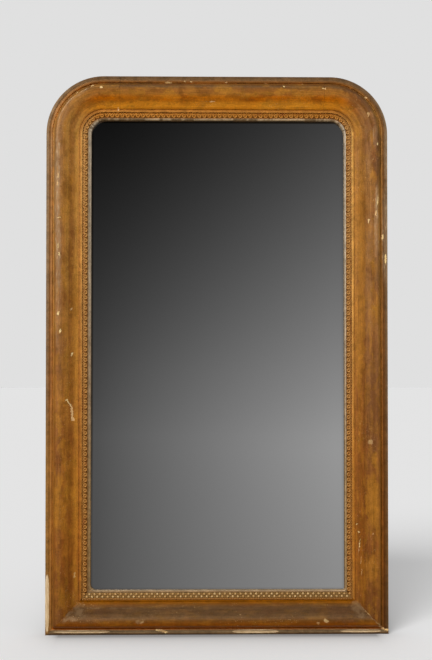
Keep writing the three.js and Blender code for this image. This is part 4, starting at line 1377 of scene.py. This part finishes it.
for piece, node in (
    (left_stile, "left_stile_moulding"), (right_stile, "right_stile_moulding"),
    (left_corner, "top_left_corner_block"), (right_corner, "top_right_corner_block"),
    (upper_rail, "top_rail_moulding"), (lower_rail, "bottom_rail_moulding"),
):
    soften(piece, 0.35)
    side = -1 if "left" in node else 1
    if "stile" in node:
        cut(piece, (0, 0, joint_height(side) - 0.05), (0, 0, 1))
    elif "corner" in node:
        cut(piece, (0, 0, joint_height(side)), (0, 0, -1))
    finish_flats(piece)
    dress(piece, [node], gilding)

for piece, node in (
    (left_rings, "left_ring_strip"), (right_rings, "right_ring_strip"), (top_rings, "top_ring_strip"),
    (left_turn_rings, "top_left_ring_curve"), (right_turn_rings, "top_right_ring_curve"),
    (lower_pearls, "bottom_pearl_strip"),
):
    finish_mesh(piece, 60)
    dress(piece, [node], ornament)

for node, piece in carcass.items():
    finish_flats(piece)
    upright = node.startswith(("left", "right"))
    dress(piece, [node], upright_pine if upright else level_pine)

for node, piece in planks.items():
    finish_flats(piece)
    dress(piece, [node], backing_pine)

finish_mesh(nail_heads, 50)
dress(nail_heads, [], iron)

for name, side, body in (("left", -1, "left_ring"), ("right", 1, "right_ring")):
    piece = strap(f"{name}_strap", side)
    finish_mesh(piece, 40)
    dress(piece, [f"{name}_hanger_strap"], iron)
    ring = wire_ring(f"{name}_ring", side)
    finish_mesh(ring, 60)
    dress(ring, [f"{name}_hanging_ring"], iron, body)
    for number, drop in enumerate(SCREW_DROPS, 1):
        piece = screw(f"{name}_screw_{number}", side, drop)
        finish_mesh(piece, 40)
        dress(piece, [f"{name}_hanger_screw_{number}"], steel)


def paint_node(node, material):
    """Gives a CAD node that stays in the scene its look."""
    nodes[node].data.materials.clear()
    nodes[node].data.materials.append(material)
    nodes[node].visible_diffuse = node != "mirror_glass"


paint_node("mirror_glass", silvering)
for number in range(1, 11):
    paint_node(f"glass_block_{number}", upright_pine if number <= 6 else level_pine)

# ---------------------------------------------------------------- room, light and camera

# The base touches the floor this far to each side and to the front, in metres.
CONTACT_SIDE, CONTACT_FRONT = 0.392, 0.034


def floor_material():
    """Matte white, a little brighter to the camera, with a soft contact shadow painted along the base."""
    material = bpy.data.materials.new("pale floor")
    material.use_nodes = True
    material.node_tree.nodes.clear()
    sheet = Sheet(material.node_tree)
    x, y, _ = sheet.split(sheet.add("ShaderNodeTexCoord").outputs["Object"])
    # A painted contact shadow: near the base the floor's paint and its glow are dimmed.
    beyond_side = sheet.most(sheet.minus(sheet.math("ABSOLUTE", x), CONTACT_SIDE), 0)
    beyond_front = sheet.most(sheet.minus(sheet.times(y, -1), CONTACT_FRONT), 0)
    beyond = sheet.plus(sheet.times(beyond_side, 2.2), beyond_front)
    near = sheet.math("EXPONENT", sheet.divide(beyond, -0.018))
    far = sheet.math("EXPONENT", sheet.divide(beyond, -0.085))
    open_floor = sheet.minus(1, sheet.plus(sheet.times(near, 0.22), sheet.times(far, 0.36)))
    paint = sheet.add("ShaderNodeBsdfDiffuse")
    pale = sheet.times(open_floor, 0.85)
    sheet.feed(paint.inputs["Color"], sheet.vector(pale, pale, pale))
    fill = sheet.add("ShaderNodeEmission")
    fill.inputs["Color"].default_value = (1, 1, 1, 1)
    to_camera = sheet.add("ShaderNodeLightPath").outputs["Is Camera Ray"]
    sheet.feed(fill.inputs["Strength"], sheet.times(sheet.times(to_camera, 0.207), open_floor))
    both = sheet.add("ShaderNodeAddShader")
    sheet.feed(both.inputs[0], paint.outputs[0])
    sheet.feed(both.inputs[1], fill.outputs[0])
    sheet.feed(sheet.add("ShaderNodeOutputMaterial").inputs["Surface"], both.outputs[0])
    return material


def shade_shown(sheet):
    """What the mirror shows: a dark room above and to the left, a paler floor below and to the right."""
    across, _, up = sheet.split(sheet.add("ShaderNodeTexCoord").outputs["Generated"])
    dim = sheet.range(up, -0.04, 0.155, 0.318, 0.093, "LINEAR")
    spread = sheet.range(up, -0.05, 0.16, 0.266, 0.155, "LINEAR")
    spread = sheet.minus(spread, sheet.range(up, -0.125, -0.05, 0.04, 0.0, "LINEAR"))
    rightward = sheet.range(across, -0.0485, 0.0991, 0.0, 1.0, "LINEAR")
    rightward = sheet.math("POWER", rightward, sheet.range(up, 0.0, 0.15, 0.8, 1.22, "LINEAR"))
    floorward = sheet.range(up, -0.6, -0.15, 0.35, 0.0)
    shade = sheet.plus(sheet.plus(dim, sheet.times(spread, rightward)), floorward)
    return sheet.times(sheet.math("POWER", shade, 2.2), 1.1)


def light_room():
    """Grey to the camera, dimmer where it lights the frame, and with a shade of its own in reflections."""
    world = bpy.data.worlds.new("studio")
    bpy.context.scene.world = world
    world.use_nodes = True
    world.node_tree.nodes.clear()
    sheet = Sheet(world.node_tree)

    def background(grey, strength=None):
        node = sheet.add("ShaderNodeBackground")
        node.inputs["Color"].default_value = (grey, grey, grey, 1)
        sheet.feed(node.inputs["Strength"], strength)
        return node.outputs[0]

    def either(share, first, second):
        node = sheet.add("ShaderNodeMixShader")
        for socket, value in zip(node.inputs, (share, first, second)):
            sheet.feed(socket, value)
        return node.outputs[0]

    rays = sheet.add("ShaderNodeLightPath").outputs
    around = either(rays["Is Glossy Ray"], background(0.3), background(1, shade_shown(sheet)))
    around = either(rays["Is Camera Ray"], around, background(0.745))
    sheet.feed(sheet.add("ShaderNodeOutputWorld").inputs["Surface"], around)


def key_lamp():
    """A broad lamp in front, high on the left."""
    bpy.ops.object.light_add(type="SUN", location=(-1, -3, 2))
    lamp = bpy.context.object
    lamp.name = "key lamp"
    lamp.data.energy = 2.3
    lamp.data.angle = math.radians(24)
    turn, drop = math.radians(20), math.radians(30)
    shines = Vector((math.sin(turn), math.cos(turn), -math.tan(drop)))
    lamp.rotation_euler = shines.to_track_quat("-Z", "Y").to_euler()


def front_camera():
    """Sees a picture 660 pixels high with a focal length of 1605 pixels, level with the glass."""
    data = bpy.data.cameras.new("camera")
    camera = bpy.data.objects.new("camera", data)
    bpy.context.scene.collection.objects.link(camera)
    bpy.context.scene.camera = camera
    data.sensor_width = 36
    data.lens = 36 * 1605 / 660
    camera.location = (-0.103, -4.0, 0.6515)
    camera.rotation_euler = (math.radians(90 + 1.478), 0, math.radians(-1.434))


bpy.ops.mesh.primitive_plane_add(size=120, location=(0, 0, 0))
floor = bpy.context.object
floor.name = "floor"
floor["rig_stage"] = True
floor.visible_glossy = False
floor.data.materials.append(floor_material())
light_room()
key_lamp()
front_camera()
bpy.context.scene.view_settings.view_transform = "Standard"

low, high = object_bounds()
